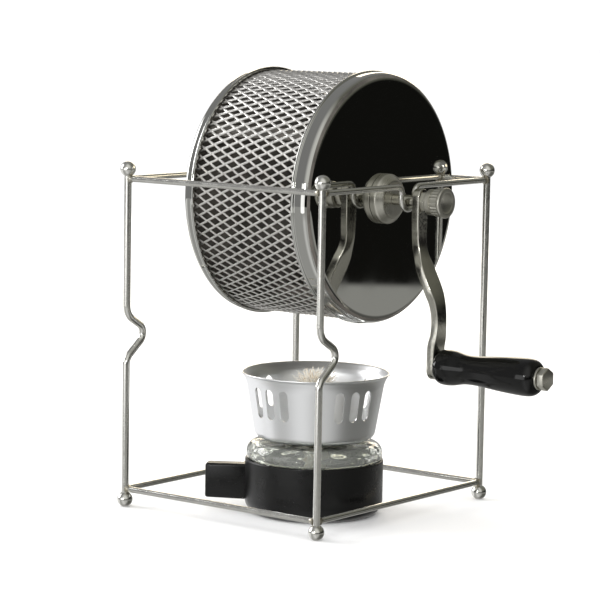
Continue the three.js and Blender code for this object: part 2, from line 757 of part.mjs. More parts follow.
// Lamp bowl: a straight body down in the base and a round shoulder that rests on its edge
const bowlRadius = cupRadius * Math.cos(Math.PI / burnerSides) - gap;
const bowlNeck = holderRadius + gap;
const shoulderRadius = baseRadius - bowlShoulderInset;
const footCentre = [bowlRadius - bowlFootRadius, bowlBottom + bowlFootRadius];
const topCentre = [bowlRadius - bowlFootRadius, bowlTop - bowlFootRadius];
const shoulderCentre = [shoulderRadius - bowlShoulderRadius, bowlTop - bowlShoulderRadius];
piece(burner, 'lamp_bowl', turnedOnZ([
  [0, bowlBottom],
  ...arc(...footCentre, bowlFootRadius, -quarterTurn, 0, cornerSteps),
  [bowlRadius, bowlSeat], [shoulderRadius, bowlSeat],
  ...arc(...shoulderCentre, bowlShoulderRadius, 0, quarterTurn, 2 * cornerSteps),
  [bowlNeck, bowlTop], [bowlNeck, bowlTop - bowlWall],
  ...arc(...topCentre, bowlFootRadius - bowlWall, quarterTurn, 0, cornerSteps),
  ...arc(...footCentre, bowlFootRadius - bowlWall, 0, -quarterTurn, cornerSteps),
  [0, bowlBottom + bowlWall],
], burnerSides), glass);

// Wick holder: a tube through the bowl's neck, with a flange that rests on the bowl
const holderBottom = bowlTop - holderDepth;
const shieldHoleRadius = holderRadius + shieldHoleRoom;
const flangeRadius = shieldHoleRadius + holderFlangeSeat;
piece(burner, 'wick_holder', turnedOnZ([
  [holderRadius - holderWall, holderBottom], [holderRadius, holderBottom], [holderRadius, flangeBottom],
  [flangeRadius, flangeBottom], [flangeRadius, flangeTop],
  [holderRadius, flangeTop], [holderRadius, holderTop],
  [holderRadius - holderWall, holderTop], [holderRadius - holderWall, holderBottom],
], smallTurnedSides), chromedSteel);

// Wick: a cotton bundle from the bottom of the bowl to a frayed tuft above the holder
const wickRadius = holderRadius - holderWall - gap;
const tuftRadius = wickTuftDiameter / 2;
const wickTail = bowlBottom + bowlWall + wickTailGap;
// Each pair is a share of the way from wick to tuft radius and a share of the tuft's height
const tuftShares = [[0.3, 0.25], [0.85, 0.5], [1, 0.75], [0.75, 0.93]];
const tuftBottom = holderTop + gap;
const tuft = tuftShares.map(([out, up]) => [
  wickRadius + (tuftRadius - wickRadius) * out, tuftBottom + (wickTop - tuftBottom) * up,
]);
piece(burner, 'wick', turnedOnZ([
  [0, wickTail], [wickRadius, wickTail], [wickRadius, tuftBottom], ...tuft, [0, wickTop],
], smallTurnedSides), cotton);

// Wind shield: a flaring cup of thin sheet that stands on the holder's flange
const shieldBottom = flangeTop + gap;
const shieldTop = shieldBottom + shieldHeight;
const lipBottom = shieldTop - shieldLipHeight;
const footRadius = shieldFootDiameter / 2;
const bodyTopRadius = shieldTopDiameter / 2;
const rimRadius = bodyTopRadius + shieldLipReach;
const slotHeight = shieldHeight - shieldLipHeight - slotBottomRise - slotTopDrop;
// Each pair is a share of the lip's reach and a share of its height
const lipShares = [[0, 0], [0.1, 0.35], [0.4, 0.75], [1, 1]];

function windShield() {
  const lip = (inward) => lipShares.map(([out, up]) => [
    bodyTopRadius - inward + (rimRadius - bodyTopRadius + inward) * out,
    lipBottom + (shieldLipHeight - shieldWall + inward) * up,
  ]);
  const corner = [footRadius - shieldFootRadius, shieldBottom + shieldFootRadius];
  const body = turnedOnZ([
    [shieldHoleRadius, shieldBottom],
    ...arc(...corner, shieldFootRadius, -quarterTurn, 0, cornerSteps),
    ...lip(0),
    ...lip(shieldWall).reverse(),
    ...arc(...corner, shieldFootRadius - shieldWall, 0, -quarterTurn, cornerSteps),
    [shieldHoleRadius, shieldBottom + shieldWall], [shieldHoleRadius, shieldBottom],
  ], burnerSides);
  let shield = solidOf(body);
  const slotRadius = slotWidth / 2;
  const slotCutLength = Math.max(bodyTopRadius, footRadius) + cutOverrun - shieldHoleRadius;
  const outline = [
    ...arc(0, slotHeight - slotRadius, slotRadius, 0, Math.PI, cornerSteps),
    ...arc(0, slotRadius, slotRadius, Math.PI, 2 * Math.PI, cornerSteps),
  ];
  const slot = new THREE.Shape(outline.map(([u, v]) => new THREE.Vector2(u, v)));
  for (let group = 0; group < slotGroups; group += 1) {
    const middle = firstGroupAngle + slotGroupAngle * group;
    for (let i = 0; i < slotsPerGroup; i += 1) {
      const turn = middle + slotPitchAngle * (i - (slotsPerGroup - 1) / 2);
      const cutter = new THREE.ExtrudeGeometry(slot, { depth: slotCutLength, bevelEnabled: false })
        .rotateX(quarterTurn).rotateZ(quarterTurn)
        .translate(shieldHoleRadius, 0, shieldBottom + slotBottomRise).rotateZ(turn);
      shield = shield.subtract(solidOf(cutter));
    }
  }
  return geometryOf(shield);
}

piece(burner, 'wind_shield', windShield(), aluminium);

// The crank reaches far to one side, so the whole is moved back to have its middle over the origin
const crankReach = armX + armPadOffset + endNutEnd;
roaster.position.set(-(crankReach + shaftStart) / 2, 0, 0);
const whole = new THREE.Group();
whole.add(roaster);

export default whole;
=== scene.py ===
# %% [markdown]
# # A hand-cranked coffee roaster
#
# This is a lesson in making one real object in Blender: a small drum of expanded metal that turns
# in a stand of welded wire, over an alcohol burner. The measured model is loaded first and never
# moved. Nearly every piece is then drawn again in millimetres, where the measured one is, and all
# of them are given a finish.

# %% Load the measured model
import math
import random

import bmesh
import bpy
from mathutils import Matrix, Vector
from mathutils.geometry import interpolate_bezier


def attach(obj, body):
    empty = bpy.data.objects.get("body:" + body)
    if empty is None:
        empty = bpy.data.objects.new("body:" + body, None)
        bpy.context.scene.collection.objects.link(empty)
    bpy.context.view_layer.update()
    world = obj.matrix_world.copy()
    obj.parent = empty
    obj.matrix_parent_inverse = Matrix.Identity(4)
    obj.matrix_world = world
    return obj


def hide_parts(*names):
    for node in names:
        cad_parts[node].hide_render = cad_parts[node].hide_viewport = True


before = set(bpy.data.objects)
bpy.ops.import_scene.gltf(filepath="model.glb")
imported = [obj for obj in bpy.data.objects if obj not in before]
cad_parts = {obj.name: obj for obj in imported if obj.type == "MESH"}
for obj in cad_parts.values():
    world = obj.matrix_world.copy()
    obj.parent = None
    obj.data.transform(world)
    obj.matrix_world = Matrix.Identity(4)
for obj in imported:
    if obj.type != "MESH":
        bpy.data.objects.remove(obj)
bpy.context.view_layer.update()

# %% [markdown]
# ## Colours and nodes
#
# Colours are picked as they look on a screen, so they are written as sRGB hex values, and one
# function turns them into the linear light that a renderer adds up. Every material is a small
# graph, and one helper adds a node to it: settings by name, inputs as numbers or as links, and the
# stops of a colour ramp as pairs of a position and a colour.

# %% Colours and nodes
def linear(hex_colour):
    """sRGB hex to the linear colour that a shader works in."""
    parts = [int(hex_colour[i:i + 2], 16) / 255 for i in (1, 3, 5)]
    return tuple(c / 12.92 if c <= 0.04045 else ((c + 0.055) / 1.055) ** 2.4 for c in parts) + (1.0,)


def add_node(tree, kind, inputs=None, stops=(), **settings):
    """Adds one node. An input is a plain value, or another node's output to link."""
    made = tree.nodes.new(kind)
    for name, value in settings.items():
        setattr(made, name, value)
    for name, value in (inputs or {}).items():
        if isinstance(value, bpy.types.NodeSocket):
            tree.links.new(value, made.inputs[name])
        else:
            made.inputs[name].default_value = value
    for i, (position, colour) in enumerate(stops):
        made.color_ramp.elements[i].position = position
        made.color_ramp.elements[i].color = colour
    return made


print("mid grey on a screen is", round(linear("#808080")[0], 3), "in linear light")

# %% [markdown]
# ## The finishes
#
# A finish starts as one Principled shader with plain values. It looks real once it isn't the same
# all over, so a noise pattern in the piece's own coordinates is laid over it. The pattern can make
# the surface duller in patches, tint it or raise it. Stretched along an axis, its spots become
# streaks, as a tool leaves them.

# %% A finish and its pattern
MM = 0.001  # one millimetre in Blender's metres


def new_finish(name, **plain_values):
    """A material with one Principled shader, its plain values set on the shader's own sockets."""
    finish = bpy.data.materials.new(name)
    finish.use_nodes = True
    shader = finish.node_tree.nodes["Principled BSDF"]
    for socket, value in plain_values.items():
        shader.inputs[socket.replace("_", " ")].default_value = value
    finish.diffuse_color = shader.inputs["Base Color"].default_value
    print("finish:", name)
    return finish


def add_pattern(finish, scale, detail, stretch=(1, 1, 1), roughness=None, tint=None,
                spread=(0.3, 0.7), bump=None):
    """Lays noise over a finish. Scale is spots to a metre, bump is a strength and a height in mm."""
    tree = finish.node_tree
    shader = tree.nodes["Principled BSDF"]
    place = add_node(tree, "ShaderNodeTexCoord").outputs["Object"]
    streaked = add_node(tree, "ShaderNodeMapping", {"Vector": place, "Scale": stretch}).outputs["Vector"]
    spots = add_node(tree, "ShaderNodeTexNoise",
                     {"Vector": streaked, "Scale": scale, "Detail": detail}).outputs["Fac"]
    if roughness:
        greys = [(value, value, value, 1.0) for value in roughness]
        patches = add_node(tree, "ShaderNodeValToRGB", {"Fac": spots}, zip(spread, greys))
        tree.links.new(patches.outputs["Color"], shader.inputs["Roughness"])
    if tint:
        colours = [linear(colour) for colour in tint]
        patches = add_node(tree, "ShaderNodeValToRGB", {"Fac": spots}, zip(spread, colours))
        tree.links.new(patches.outputs["Color"], shader.inputs["Base Color"])
    if bump:
        strength, height = bump
        raised = add_node(tree, "ShaderNodeBump",
                          {"Height": spots, "Strength": strength, "Distance": height * MM})
        tree.links.new(raised.outputs["Normal"], shader.inputs["Normal"])


print("a pattern with scale 1000 has spots", 1 / 1000 / MM, "mm apart")

# %% [markdown]
# The stand is bright stainless wire. It was drawn through a die and polished after welding. Steel
# is a metal: all its colour is in its reflection, so the base colour is light and the roughness
# decides whether it reads as a mirror or as satin.

# %% Polished wire and its welds
# Polished wire shows long bright lines, broken a little by smudges
wire_steel = new_finish("drawn stainless wire, polished",
                        Base_Color=linear("#dcdbd6"), Metallic=1.0, Roughness=0.2)
add_pattern(wire_steel, 260.0, 4.0, roughness=(0.14, 0.26))  # smudges about 4 mm apart
add_pattern(wire_steel, 1400.0, 2.0, bump=(0.07, 0.2))  # die marks 0.7 mm apart, drawn coarse

# A weld that was only brushed is duller, and keeps a straw tint from its heat
weld_steel = new_finish("stainless weld, brushed, straw heat tint",
                        Base_Color=linear("#b0a890"), Metallic=1.0, Roughness=0.34)
add_pattern(weld_steel, 420.0, 3.0, tint=("#98917e", "#c0beb6"), spread=(0.35, 0.65),
            bump=(0.4, 0.3))  # heat blotches 2.4 mm apart

# %% [markdown]
# Expanded metal is slit and stretched sheet. It can't be polished, so its strands stay satin, and
# the cut edges catch light. The drum's caps are pressed from sheet with a mirror finish: outside
# they show the room. Inside they are dull, brown and dark: partly smoke stain and partly painted
# shade, which keeps the drum dark.

# %% Expanded sheet, mirror caps and their smoky inside, darkened with painted shade
# Satin strands catch the light along their edges, but show no picture of the room
mesh_steel = new_finish("expanded stainless sheet, satin",
                        Base_Color=linear("#f0eeea"), Metallic=1.0, Roughness=0.33)
add_pattern(mesh_steel, 900.0, 3.0, roughness=(0.26, 0.42), bump=(0.25, 0.2))  # 1.1 mm drawing grain

# A mirror shows the room's dark wall and the table's edge sharply, a little softer where wiped
mirror_steel = new_finish("pressed stainless sheet, mirror polished",
                          Base_Color=linear("#c4c4c0"), Metallic=1.0, Roughness=0.04)
add_pattern(mirror_steel, 38.0, 5.0, stretch=(1, 1, 0.35), roughness=(0.02, 0.05),
            spread=(0.4, 0.75))  # wipe marks 26 mm wide and 75 mm tall

# A film of smoke covers most of the metal, so it turns dull and warm; its dark grey is also painted
# shade for the inside of the drum
smoke_and_shade_steel = new_finish("smoke-stained stainless sheet, darkened as painted shade",
                          Base_Color=linear("#5e5a54"), Metallic=0.35, Roughness=0.55)
add_pattern(smoke_and_shade_steel, 70.0, 6.0, tint=("#45423d", "#76716a"), spread=(0.3, 0.72))  # 14 mm stains

# %% [markdown]
# The crank's arm, the shaft, the grip's spindle and the wick's tube are chromed. Chrome copies the
# ground surface under it, so a trace of the grinding stays in the reflection. The collars, the nuts
# and the other small fittings are steel that was turned and left as it was. The wind shield is spun
# from aluminium on a lathe, and the tool leaves fine rings round it.

# %% Chromed, turned and spun metal
# Chrome has bright edges and a picture of the room that is slightly blurred
chrome = new_finish("chromed steel", Base_Color=linear("#bdbbb2"), Metallic=1.0, Roughness=0.16)
add_pattern(chrome, 700.0, 3.0, stretch=(0.2, 1, 1), roughness=(0.1, 0.24),
            bump=(0.15, 0.2))  # grinding marks 1.4 mm wide, 7 mm long along the shaft

# Turned steel is softer to the eye than chrome, with no picture of the room
turned_steel = new_finish("turned steel, satin",
                          Base_Color=linear("#c9c7bd"), Metallic=1.0, Roughness=0.32)
add_pattern(turned_steel, 1500.0, 2.0, stretch=(1, 0.05, 0.05), roughness=(0.26, 0.4),
            bump=(0.2, 0.2))  # tool marks 0.7 mm apart along the axis, drawn coarse

# Spun aluminium is nearly white, with a wide soft sheen that turns round the cup
spun_aluminium = new_finish("spun aluminium, satin",
                            Base_Color=linear("#f3f4f5"), Metallic=1.0, Roughness=0.32)
add_pattern(spun_aluminium, 1200.0, 2.0, stretch=(0.02, 0.02, 1), roughness=(0.29, 0.36),
            bump=(0.08, 0.2))  # rings 0.8 mm apart, drawn coarse

# %% [markdown]
# The grip and the burner's holder are moulded from a hard black plastic such as phenolic. It leaves
# the mould glossy, and use dulls it in soft patches. The lamp is pressed glass: clear, thick and
# slightly wavy, so its edges gather light. The wick is a bundle of cotton threads.

# %% Black plastic, glass and cotton
# Gloss phenolic is a deep black with small sharp highlights
black_plastic = new_finish("moulded black phenolic, gloss", Base_Color=linear("#080808"),
                           Roughness=0.1, Specular_IOR_Level=0.4)
add_pattern(black_plastic, 90.0, 5.0, roughness=(0.05, 0.11))  # handling marks 11 mm apart
add_pattern(black_plastic, 1500.0, 2.0, bump=(0.06, 0.1))  # mould skin, 0.7 mm grain

# Worn phenolic is the same black under a wide and weak sheen
dull_plastic = new_finish("moulded black phenolic, worn", Base_Color=linear("#080808"),
                          Roughness=0.3, Specular_IOR_Level=0.35)
add_pattern(dull_plastic, 90.0, 5.0, roughness=(0.2, 0.4))  # worn patches 11 mm apart

# Pressed glass bends what is behind it into bright and dark waves. A tenth of it stays unclear,
# for the bloom that spirit and handling leave
clear_glass = new_finish("pressed clear glass, faint bloom", Base_Color=linear("#eef1ea"),
                         Roughness=0.03, IOR=1.5, Transmission_Weight=0.9)
add_pattern(clear_glass, 85.0, 1.0, stretch=(1, 1, 2.5), bump=(0.7, 2.8))  # waves 12 mm wide, 5 mm high

# Loose cotton has no highlight, only a pale fuzz. Its streaks vary the threads' tone, and the darker
# ones are painted shade of the grooves between its threads
cotton = new_finish("loose cotton thread",
                    Base_Color=linear("#e9dfca"), Roughness=0.92, Sheen_Weight=0.35)
add_pattern(cotton, 620.0, 2.0, stretch=(1, 1, 0.12), tint=("#cdb899", "#f6f2e8"),
            spread=(0.3, 0.5))  # threads 1.6 mm thick

# %% [markdown]
# ## From a drawing in millimetres to a finished piece
#
# The shapes are drawn with X measured from the middle between the posts, as the stand's maker would.
# The model's own origin is under the middle of the whole, crank included, so the last step moves
# each piece by 43.3 mm, scales it to metres and hands it to the body that it moves with.

# %% Finish a piece
STAND_MIDDLE = -43.3  # where the middle between the posts lies along X
WELD_GAP = 0.003  # points closer than this, in mm, become one


def move(bm, verts, vec):
    bmesh.ops.translate(bm, verts=verts, vec=vec)


def finish_piece(bm, name, body, materials, replaced=(), crease=35):
    """Cleans a bmesh, makes it an object in metres, gives it to its body and hides what it replaces."""
    bmesh.ops.remove_doubles(bm, verts=bm.verts, dist=WELD_GAP)
    bmesh.ops.recalc_face_normals(bm, faces=bm.faces)
    move(bm, bm.verts, (STAND_MIDDLE, 0, 0))
    bmesh.ops.scale(bm, verts=bm.verts, vec=(MM, MM, MM))
    mesh = bpy.data.meshes.new(name)
    for face in bm.faces:
        face.smooth = True
    bm.to_mesh(mesh)
    bm.free()
    mesh.set_sharp_from_angle(angle=math.radians(crease))
    for material in materials:
        mesh.materials.append(material)
    made = bpy.data.objects.new(name, mesh)
    bpy.context.scene.collection.objects.link(made)
    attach(made, body)
    if replaced:
        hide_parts(*replaced)
    print(f"{name}: {len(mesh.polygons)} faces on {body}")
    return made


print("pieces are drawn", -STAND_MIDDLE, "mm to the crank's side of where they stand")

# %% [markdown]
# ## The wire stand
#
# The stand is built from wires that a bender shapes before they are welded. A bent wire is a ring
# that is drawn along each straight run and spun round each bend, which is what the bender does.
# `extrude` makes the straight runs and `spin` the bends, so the wire keeps its thickness.

# %% Bend a wire
BEND_STEPS = 9


def edges_of(verts):
    """The edges that meet these vertices, each once and always in the same order."""
    return list(dict.fromkeys(edge for vert in verts for edge in vert.link_edges))


def extrude_ring(bm, loop, vec):
    """Draws a ring of edges out along a vector. Gives the new ring and its points."""
    grown = bmesh.ops.extrude_edge_only(bm, edges=loop)["geom"]
    loop = [g for g in grown if isinstance(g, bmesh.types.BMEdge) and len(g.link_faces) == 1]
    verts = [g for g in grown if isinstance(g, bmesh.types.BMVert)]
    move(bm, verts, vec)
    return loop, verts


def bend_wire(bm, corners, radii, diameter, sides):
    """Draws a round wire through its corners; each inner corner has its bend radius."""
    corners = [Vector(corner) for corner in corners]
    heading = (corners[1] - corners[0]).normalized()
    stand_up = Matrix.Translation(corners[0]) @ heading.to_track_quat("Z", "Y").to_matrix().to_4x4()
    ring = bmesh.ops.create_circle(bm, cap_ends=True, segments=sides, radius=diameter / 2,
                                   matrix=stand_up)["verts"]
    loop = edges_of(ring)
    place = corners[0]
    for i in range(1, len(corners)):
        heading = (corners[i] - corners[i - 1]).normalized()
        run_end, bend = corners[i], None
        if i < len(corners) - 1:
            onward = (corners[i + 1] - corners[i]).normalized()
            turn, radius = heading.angle(onward), radii[i - 1]
            run_end = corners[i] - heading * radius * math.tan(turn / 2)
            inward = (onward - heading * heading.dot(onward)).normalized()
            bend = (run_end + inward * radius, heading.cross(onward).normalized(), turn)
        loop, _ = extrude_ring(bm, loop, run_end - place)
        place = run_end
        if bend:
            centre, axis, turn = bend
            spun = bmesh.ops.spin(bm, geom=loop, cent=centre, axis=axis, angle=turn, steps=BEND_STEPS)
            loop = [g for g in spun["geom_last"] if isinstance(g, bmesh.types.BMEdge)]
            place = centre + Matrix.Rotation(turn, 3, axis) @ (run_end - centre)
    bmesh.ops.contextual_create(bm, geom=loop)


print("each bend is spun in", BEND_STEPS, "steps")

# %% [markdown]
# The four posts come first. Those at the back are straight. Each one at the front has a knee half
# way down, which steps to the back and out again in three bends.

# %% Posts
def stand_wire(name, node, corners, radii, diameter, sides=20):
    """Bends one wire of the stand and finishes it."""
    bm = bmesh.new()
    bend_wire(bm, corners, radii, diameter, sides)
    finish_piece(bm, name, "stand", [wire_steel], [node])


ENDS = ((1, "crank"), (-1, "lid"))  # the stand's two ends along X
FACES = ((-1, "front"), (1, "back"))  # and its two faces along Y
HALF_X, HALF_Y = 67.5, 77.0  # from the stand's middle to the posts
POST, RAIL, BALL = 4.0, 3.3, 8.6  # diameters
FOOT_Z, TOP_BALL_Z = 4.03, 189.21
TOP_RAIL_Z, BOTTOM_RAIL_Z = 183.83, 9.93
KNEE_Z, KNEE_DEPTH = 97.53, 18.2  # the knee's tip, and how far it points to the back
KNEE_BELOW, KNEE_ABOVE = 14, 10.5  # from the tip to where the post leaves its line
KNEE_RADII = [7, 5.8, 9]

for side_x, end in ENDS:
    for side_y, face in FACES:
        x, y = side_x * HALF_X, side_y * HALF_Y
        knee, radii = [], []
        if face == "front":
            knee = [(x, y, KNEE_Z - KNEE_BELOW), (x, y + KNEE_DEPTH, KNEE_Z),
                    (x, y, KNEE_Z + KNEE_ABOVE)]
            radii = KNEE_RADII
        stand_wire(f"wire_post_{face}_{end}", f"post_{face}_{end}",
                   [(x, y, FOOT_Z), *knee, (x, y, TOP_BALL_Z)], radii, POST, sides=28)

# %% [markdown]
# Four rails join the posts at the top and four at the bottom. The two that carry the drum dip down
# in the middle, and the drum's shaft lies in these two dips, so it turns there and lifts out.

# %% Rails and dips
for side_y, face in FACES:
    for z, level in ((TOP_RAIL_Z, "top"), (BOTTOM_RAIL_Z, "bottom")):
        y = side_y * HALF_Y
        stand_wire(f"wire_{level}_rail_{face}", f"{level}_rail_{face}",
                   [(-HALF_X, y, z), (HALF_X, y, z)], [], RAIL)

DIP_RADIUS, DIP_Z = 6.2, 171.28  # half the dip's width, and its lowest point
DIP_LIP = 4.5  # the bend where the rail turns down
DIP_BEND = DIP_RADIUS - 0.01  # a hair under half the width, so that a short straight run is left
for side_x, end in ENDS:
    x, z = side_x * HALF_X, TOP_RAIL_Z
    dip = [(x, -HALF_Y, z), (x, -DIP_RADIUS, z), (x, -DIP_RADIUS, DIP_Z),
           (x, DIP_RADIUS, DIP_Z), (x, DIP_RADIUS, z), (x, HALF_Y, z)]
    stand_wire(f"wire_saddle_{end}", f"saddle_rail_{end}",
               dip, [DIP_LIP, DIP_BEND, DIP_BEND, DIP_LIP], RAIL)
    stand_wire(f"wire_bottom_rail_{end}", f"bottom_rail_{end}",
               [(x, -HALF_Y, BOTTOM_RAIL_Z), (x, HALF_Y, BOTTOM_RAIL_Z)], [], RAIL)

# %% [markdown]
# Each post ends in a steel ball, turned and welded on. The upper ones close the wire, and the lower
# ones are the feet, ground flat where they stand. `create_uvsphere` makes the ball and
# `bisect_plane` grinds the flat.

# %% Balls
def cut(bm, place, normal, clear_outer=False, dist=0.0):
    """Slices along a plane, and can clear what lies beyond. Points within dist count as on it."""
    bmesh.ops.bisect_plane(bm, geom=bm.verts[:] + bm.edges[:] + bm.faces[:], dist=dist,
                           plane_co=place, plane_no=normal, clear_outer=clear_outer)


for side_x, end in ENDS:
    for side_y, face in FACES:
        for z, kind in ((TOP_BALL_Z, "top"), (FOOT_Z, "foot")):
            bm = bmesh.new()
            bmesh.ops.create_uvsphere(bm, u_segments=40, v_segments=24, radius=BALL / 2)
            move(bm, bm.verts, (side_x * HALF_X, side_y * HALF_Y, z))
            if kind == "foot":
                cut(bm, (0, 0, 0), (0, 0, -1), clear_outer=True)
                bmesh.ops.holes_fill(bm, edges=[edge for edge in bm.edges if edge.is_boundary])
            finish_piece(bm, f"{kind}_ball_steel_{face}_{end}", "stand", [wire_steel],
                         [f"{kind}_ball_{face}_{end}"])

# %% [markdown]
# A half section that is spun a full turn gives everything that is round about an axis: collars,
# caps, knobs, the grip, the lamp. Its corners will be rounded, and smooth shading would make the
# flat beside a rounding look bulged. A point close beside each rounding keeps the rest of it flat.

# %% Hold the flats of a section
HOLD = 0.2  # mm from a rounding to the point that holds the flat beside it


def point_beside(corner, neighbour):
    """A point on the flat just past a corner's rounding, or none where the flat is too short."""
    here, there = Vector(corner[:2]), Vector(neighbour[:2])
    rounded = sum(end[2] for end in (corner, neighbour) if len(end) == 3)
    if (there - here).length - rounded <= 4 * HOLD:
        return []
    return [tuple(here + (there - here).normalized() * (corner[2] + HOLD))]


def hold_flats(section, closed):
    """Adds a point on each side of a rounding, so that the flats stay flat under smooth shading."""
    held = []
    for i, corner in enumerate(section):
        rounded = len(corner) == 3
        if rounded and (closed or i > 0):
            held += point_beside(corner, section[i - 1])
        held.append(corner)
        if rounded and (closed or i < len(section) - 1):
            held += point_beside(corner, section[(i + 1) % len(section)])
    return held


print("a flat is held", HOLD, "mm beside each rounding")

# %% [markdown]
# The corners are rounded with a vertex `bevel`, as a turner breaks every sharp edge, because an
# edge only shows when it has a radius that catches light. Then `spin` turns the section.

# %% Turn a section
TURN_STEPS = 96


def turned(bm, section, axis="X", closed=True, steps=TURN_STEPS, segments=4):
    """Spins a half section about X or Z. A corner is (along, radius) or (along, radius, rounding)."""
    section = hold_flats(section, closed)
    before = set(bm.verts)
    corners = [bm.verts.new((corner[0], 0, corner[1]) if axis == "X" else (corner[1], 0, corner[0]))
               for corner in section]
    for pair in zip(corners, corners[1:]):
        bm.edges.new(pair)
    if closed:
        bm.edges.new((corners[-1], corners[0]))
    for vert, corner in zip(corners, section):
        if len(corner) == 3:
            bmesh.ops.bevel(bm, geom=[vert], offset=corner[2], offset_type="OFFSET", segments=segments,
                            profile=0.5, affect="VERTICES", clamp_overlap=True, material=-1)
    line = [vert for vert in bm.verts if vert not in before]
    bmesh.ops.spin(bm, geom=line + edges_of(line), cent=(0, 0, 0),
                   axis=Vector((axis == "X", 0, axis == "Z")),
                   angle=2 * math.pi, steps=steps, use_merge=True)
    return [vert for vert in bm.verts if vert not in before]


def turned_piece(name, body, slot, finish, node, section, place, crease=35, **lathe):
    """Turns one section, carries it to its place and finishes it."""
    bm = bmesh.new()
    turned(bm, section, **lathe)
    move(bm, bm.verts, place)
    return finish_piece(bm, name, body, [finish], [node], crease)


print("a full turn takes", TURN_STEPS, "steps unless a piece asks for others")

# %% [markdown]
# Where two wires meet, the weld pulls a small fillet of steel round the joint. Each one is a short
# trumpet, turned from one section. Both ends of each rail have one, and all of them are one piece.

# %% Weld fillets
def turn_about_z(bm, verts, angle):
    bmesh.ops.rotate(bm, verts=verts, cent=(0, 0, 0), matrix=Matrix.Rotation(angle, 3, "Z"))


FILLET = [(-2.4, 1.6), (-1.3, 1.72), (-0.6, 1.98), (-0.1, 2.42), (0.5, 2.42), (0.5, 1.2), (-2.4, 1.2)]
bm = bmesh.new()
for side_x in (1, -1):
    for side_y in (-1, 1):
        for z in (TOP_RAIL_Z, BOTTOM_RAIL_Z):
            toward_x = 0 if side_x > 0 else math.pi
            toward_y = side_y * math.pi / 2
            for direction in (toward_x, toward_y):
                verts = turned(bm, FILLET, steps=20)
                move(bm, verts, (-POST / 2, 0, 0))
                turn_about_z(bm, verts, direction)
                move(bm, verts, (side_x * HALF_X, side_y * HALF_Y, z))
finish_piece(bm, "weld_fillets", "stand", [weld_steel])

# %% [markdown]
# ## The drum
#
# Expanded metal starts as a sheet. Short slits are cut in it and the sheet is stretched, so each
# slit opens into a diamond and each strand twists a little. The same steps work here. A grid turned
# by 45 degrees and stretched gives the diamonds, an inset leaves the strands between them, and
# tilting each opening before it is deleted twists its strands.

# %% Expand the sheet
AXIS_Z = 176.23  # the drum's axis
SHAFT_LINE = (0, 0, AXIS_Z)
DRUM_FROM, DRUM_TO = -31.4, 46.7  # the sleeve's ends along X
SHEET_RADIUS, SHEET_THICK = 67.15, 0.7
DIAMOND_LONG, DIAMONDS_ROUND = 10.8, 80
HALF_STRAND = 0.52  # from a diamond's line to its opening
TWIST = 0.3  # how far a strand's edge rises for each millimetre from its opening's middle
GRID_CELLS = 96
HALF_DIAGONAL = math.sqrt(0.5)  # of a grid square of side 1

round_length = 2 * math.pi * SHEET_RADIUS
diamond_short = round_length / DIAMONDS_ROUND
middle_x = (DRUM_FROM + DRUM_TO) / 2
reach_x, reach_y = (DRUM_TO - DRUM_FROM) / 2 + DIAMOND_LONG, round_length / 2 + diamond_short

bm = bmesh.new()
bmesh.ops.create_grid(bm, x_segments=GRID_CELLS, y_segments=GRID_CELLS, size=GRID_CELLS / 2)
turn_about_z(bm, bm.verts, math.pi / 4)
bmesh.ops.scale(bm, verts=bm.verts,
                vec=(DIAMOND_LONG / 2 / HALF_DIAGONAL, diamond_short / 2 / HALF_DIAGONAL, 1))
spare = [face for face in bm.faces
         if abs(face.calc_center_median().x) > reach_x or abs(face.calc_center_median().y) > reach_y]
bmesh.ops.delete(bm, geom=spare, context="FACES")
openings = bm.faces[:]
bmesh.ops.inset_individual(bm, faces=openings, thickness=HALF_STRAND, depth=0, use_even_offset=True)
for face in openings:
    middle = face.calc_center_median()
    for vert in face.verts:
        vert.co.z += TWIST * (vert.co.y - middle.y)
bmesh.ops.delete(bm, geom=openings, context="FACES_ONLY")
print("the flat sheet is", round(DRUM_TO - DRUM_FROM, 1), "by", round(round_length, 1), "mm")

# %% [markdown]
# Four cuts with `bisect_plane` trim the sheet to size. Then it is rolled up as in a bending roll:
# the way along the sheet becomes the way round the drum. A Solidify modifier gives it thickness.

# %% Trim and roll the sheet
trims = (((reach_x - DIAMOND_LONG, 0, 0), (1, 0, 0)), ((DIAMOND_LONG - reach_x, 0, 0), (-1, 0, 0)),
         ((0, round_length / 2, 0), (0, 1, 0)), ((0, -round_length / 2, 0), (0, -1, 0)))
for place, normal in trims:
    cut(bm, place, normal, clear_outer=True, dist=0.0005)
for vert in bm.verts:
    angle, out = 2 * math.pi * vert.co.y / round_length, SHEET_RADIUS + vert.co.z
    vert.co = (middle_x + vert.co.x, out * math.cos(angle), AXIS_Z + out * math.sin(angle))
bmesh.ops.remove_doubles(bm, verts=bm.verts, dist=0.01)  # joins the two ends of the rolled sheet
sleeve = finish_piece(bm, "expanded_metal_sleeve", "drum", [mesh_steel],
                      ["drum_sleeve"])
sheet = sleeve.modifiers.new("sheet thickness", "SOLIDIFY")
sheet.thickness, sheet.offset = SHEET_THICK * MM, 0.0

# %% [markdown]
# The caps are pressed cups of mirror-finished sheet that hold the sleeve's ends. Their corner
# radius is what draws the bright and dark rings round the drum's edge. A fine bead closes the
# skirt, where the press folds the raw edge back. The inner side gets the smoky finish, which is
# dark partly from smoke and partly as painted shade.

# %% Press the caps
DRUM_RADIUS, CAP_SHEET = 68.9, 0.8
CAP_BORE = 3.3  # a loose fit on a shaft of 3 mm radius
BEAD = 0.8  # how far the bead stands out, half of its width


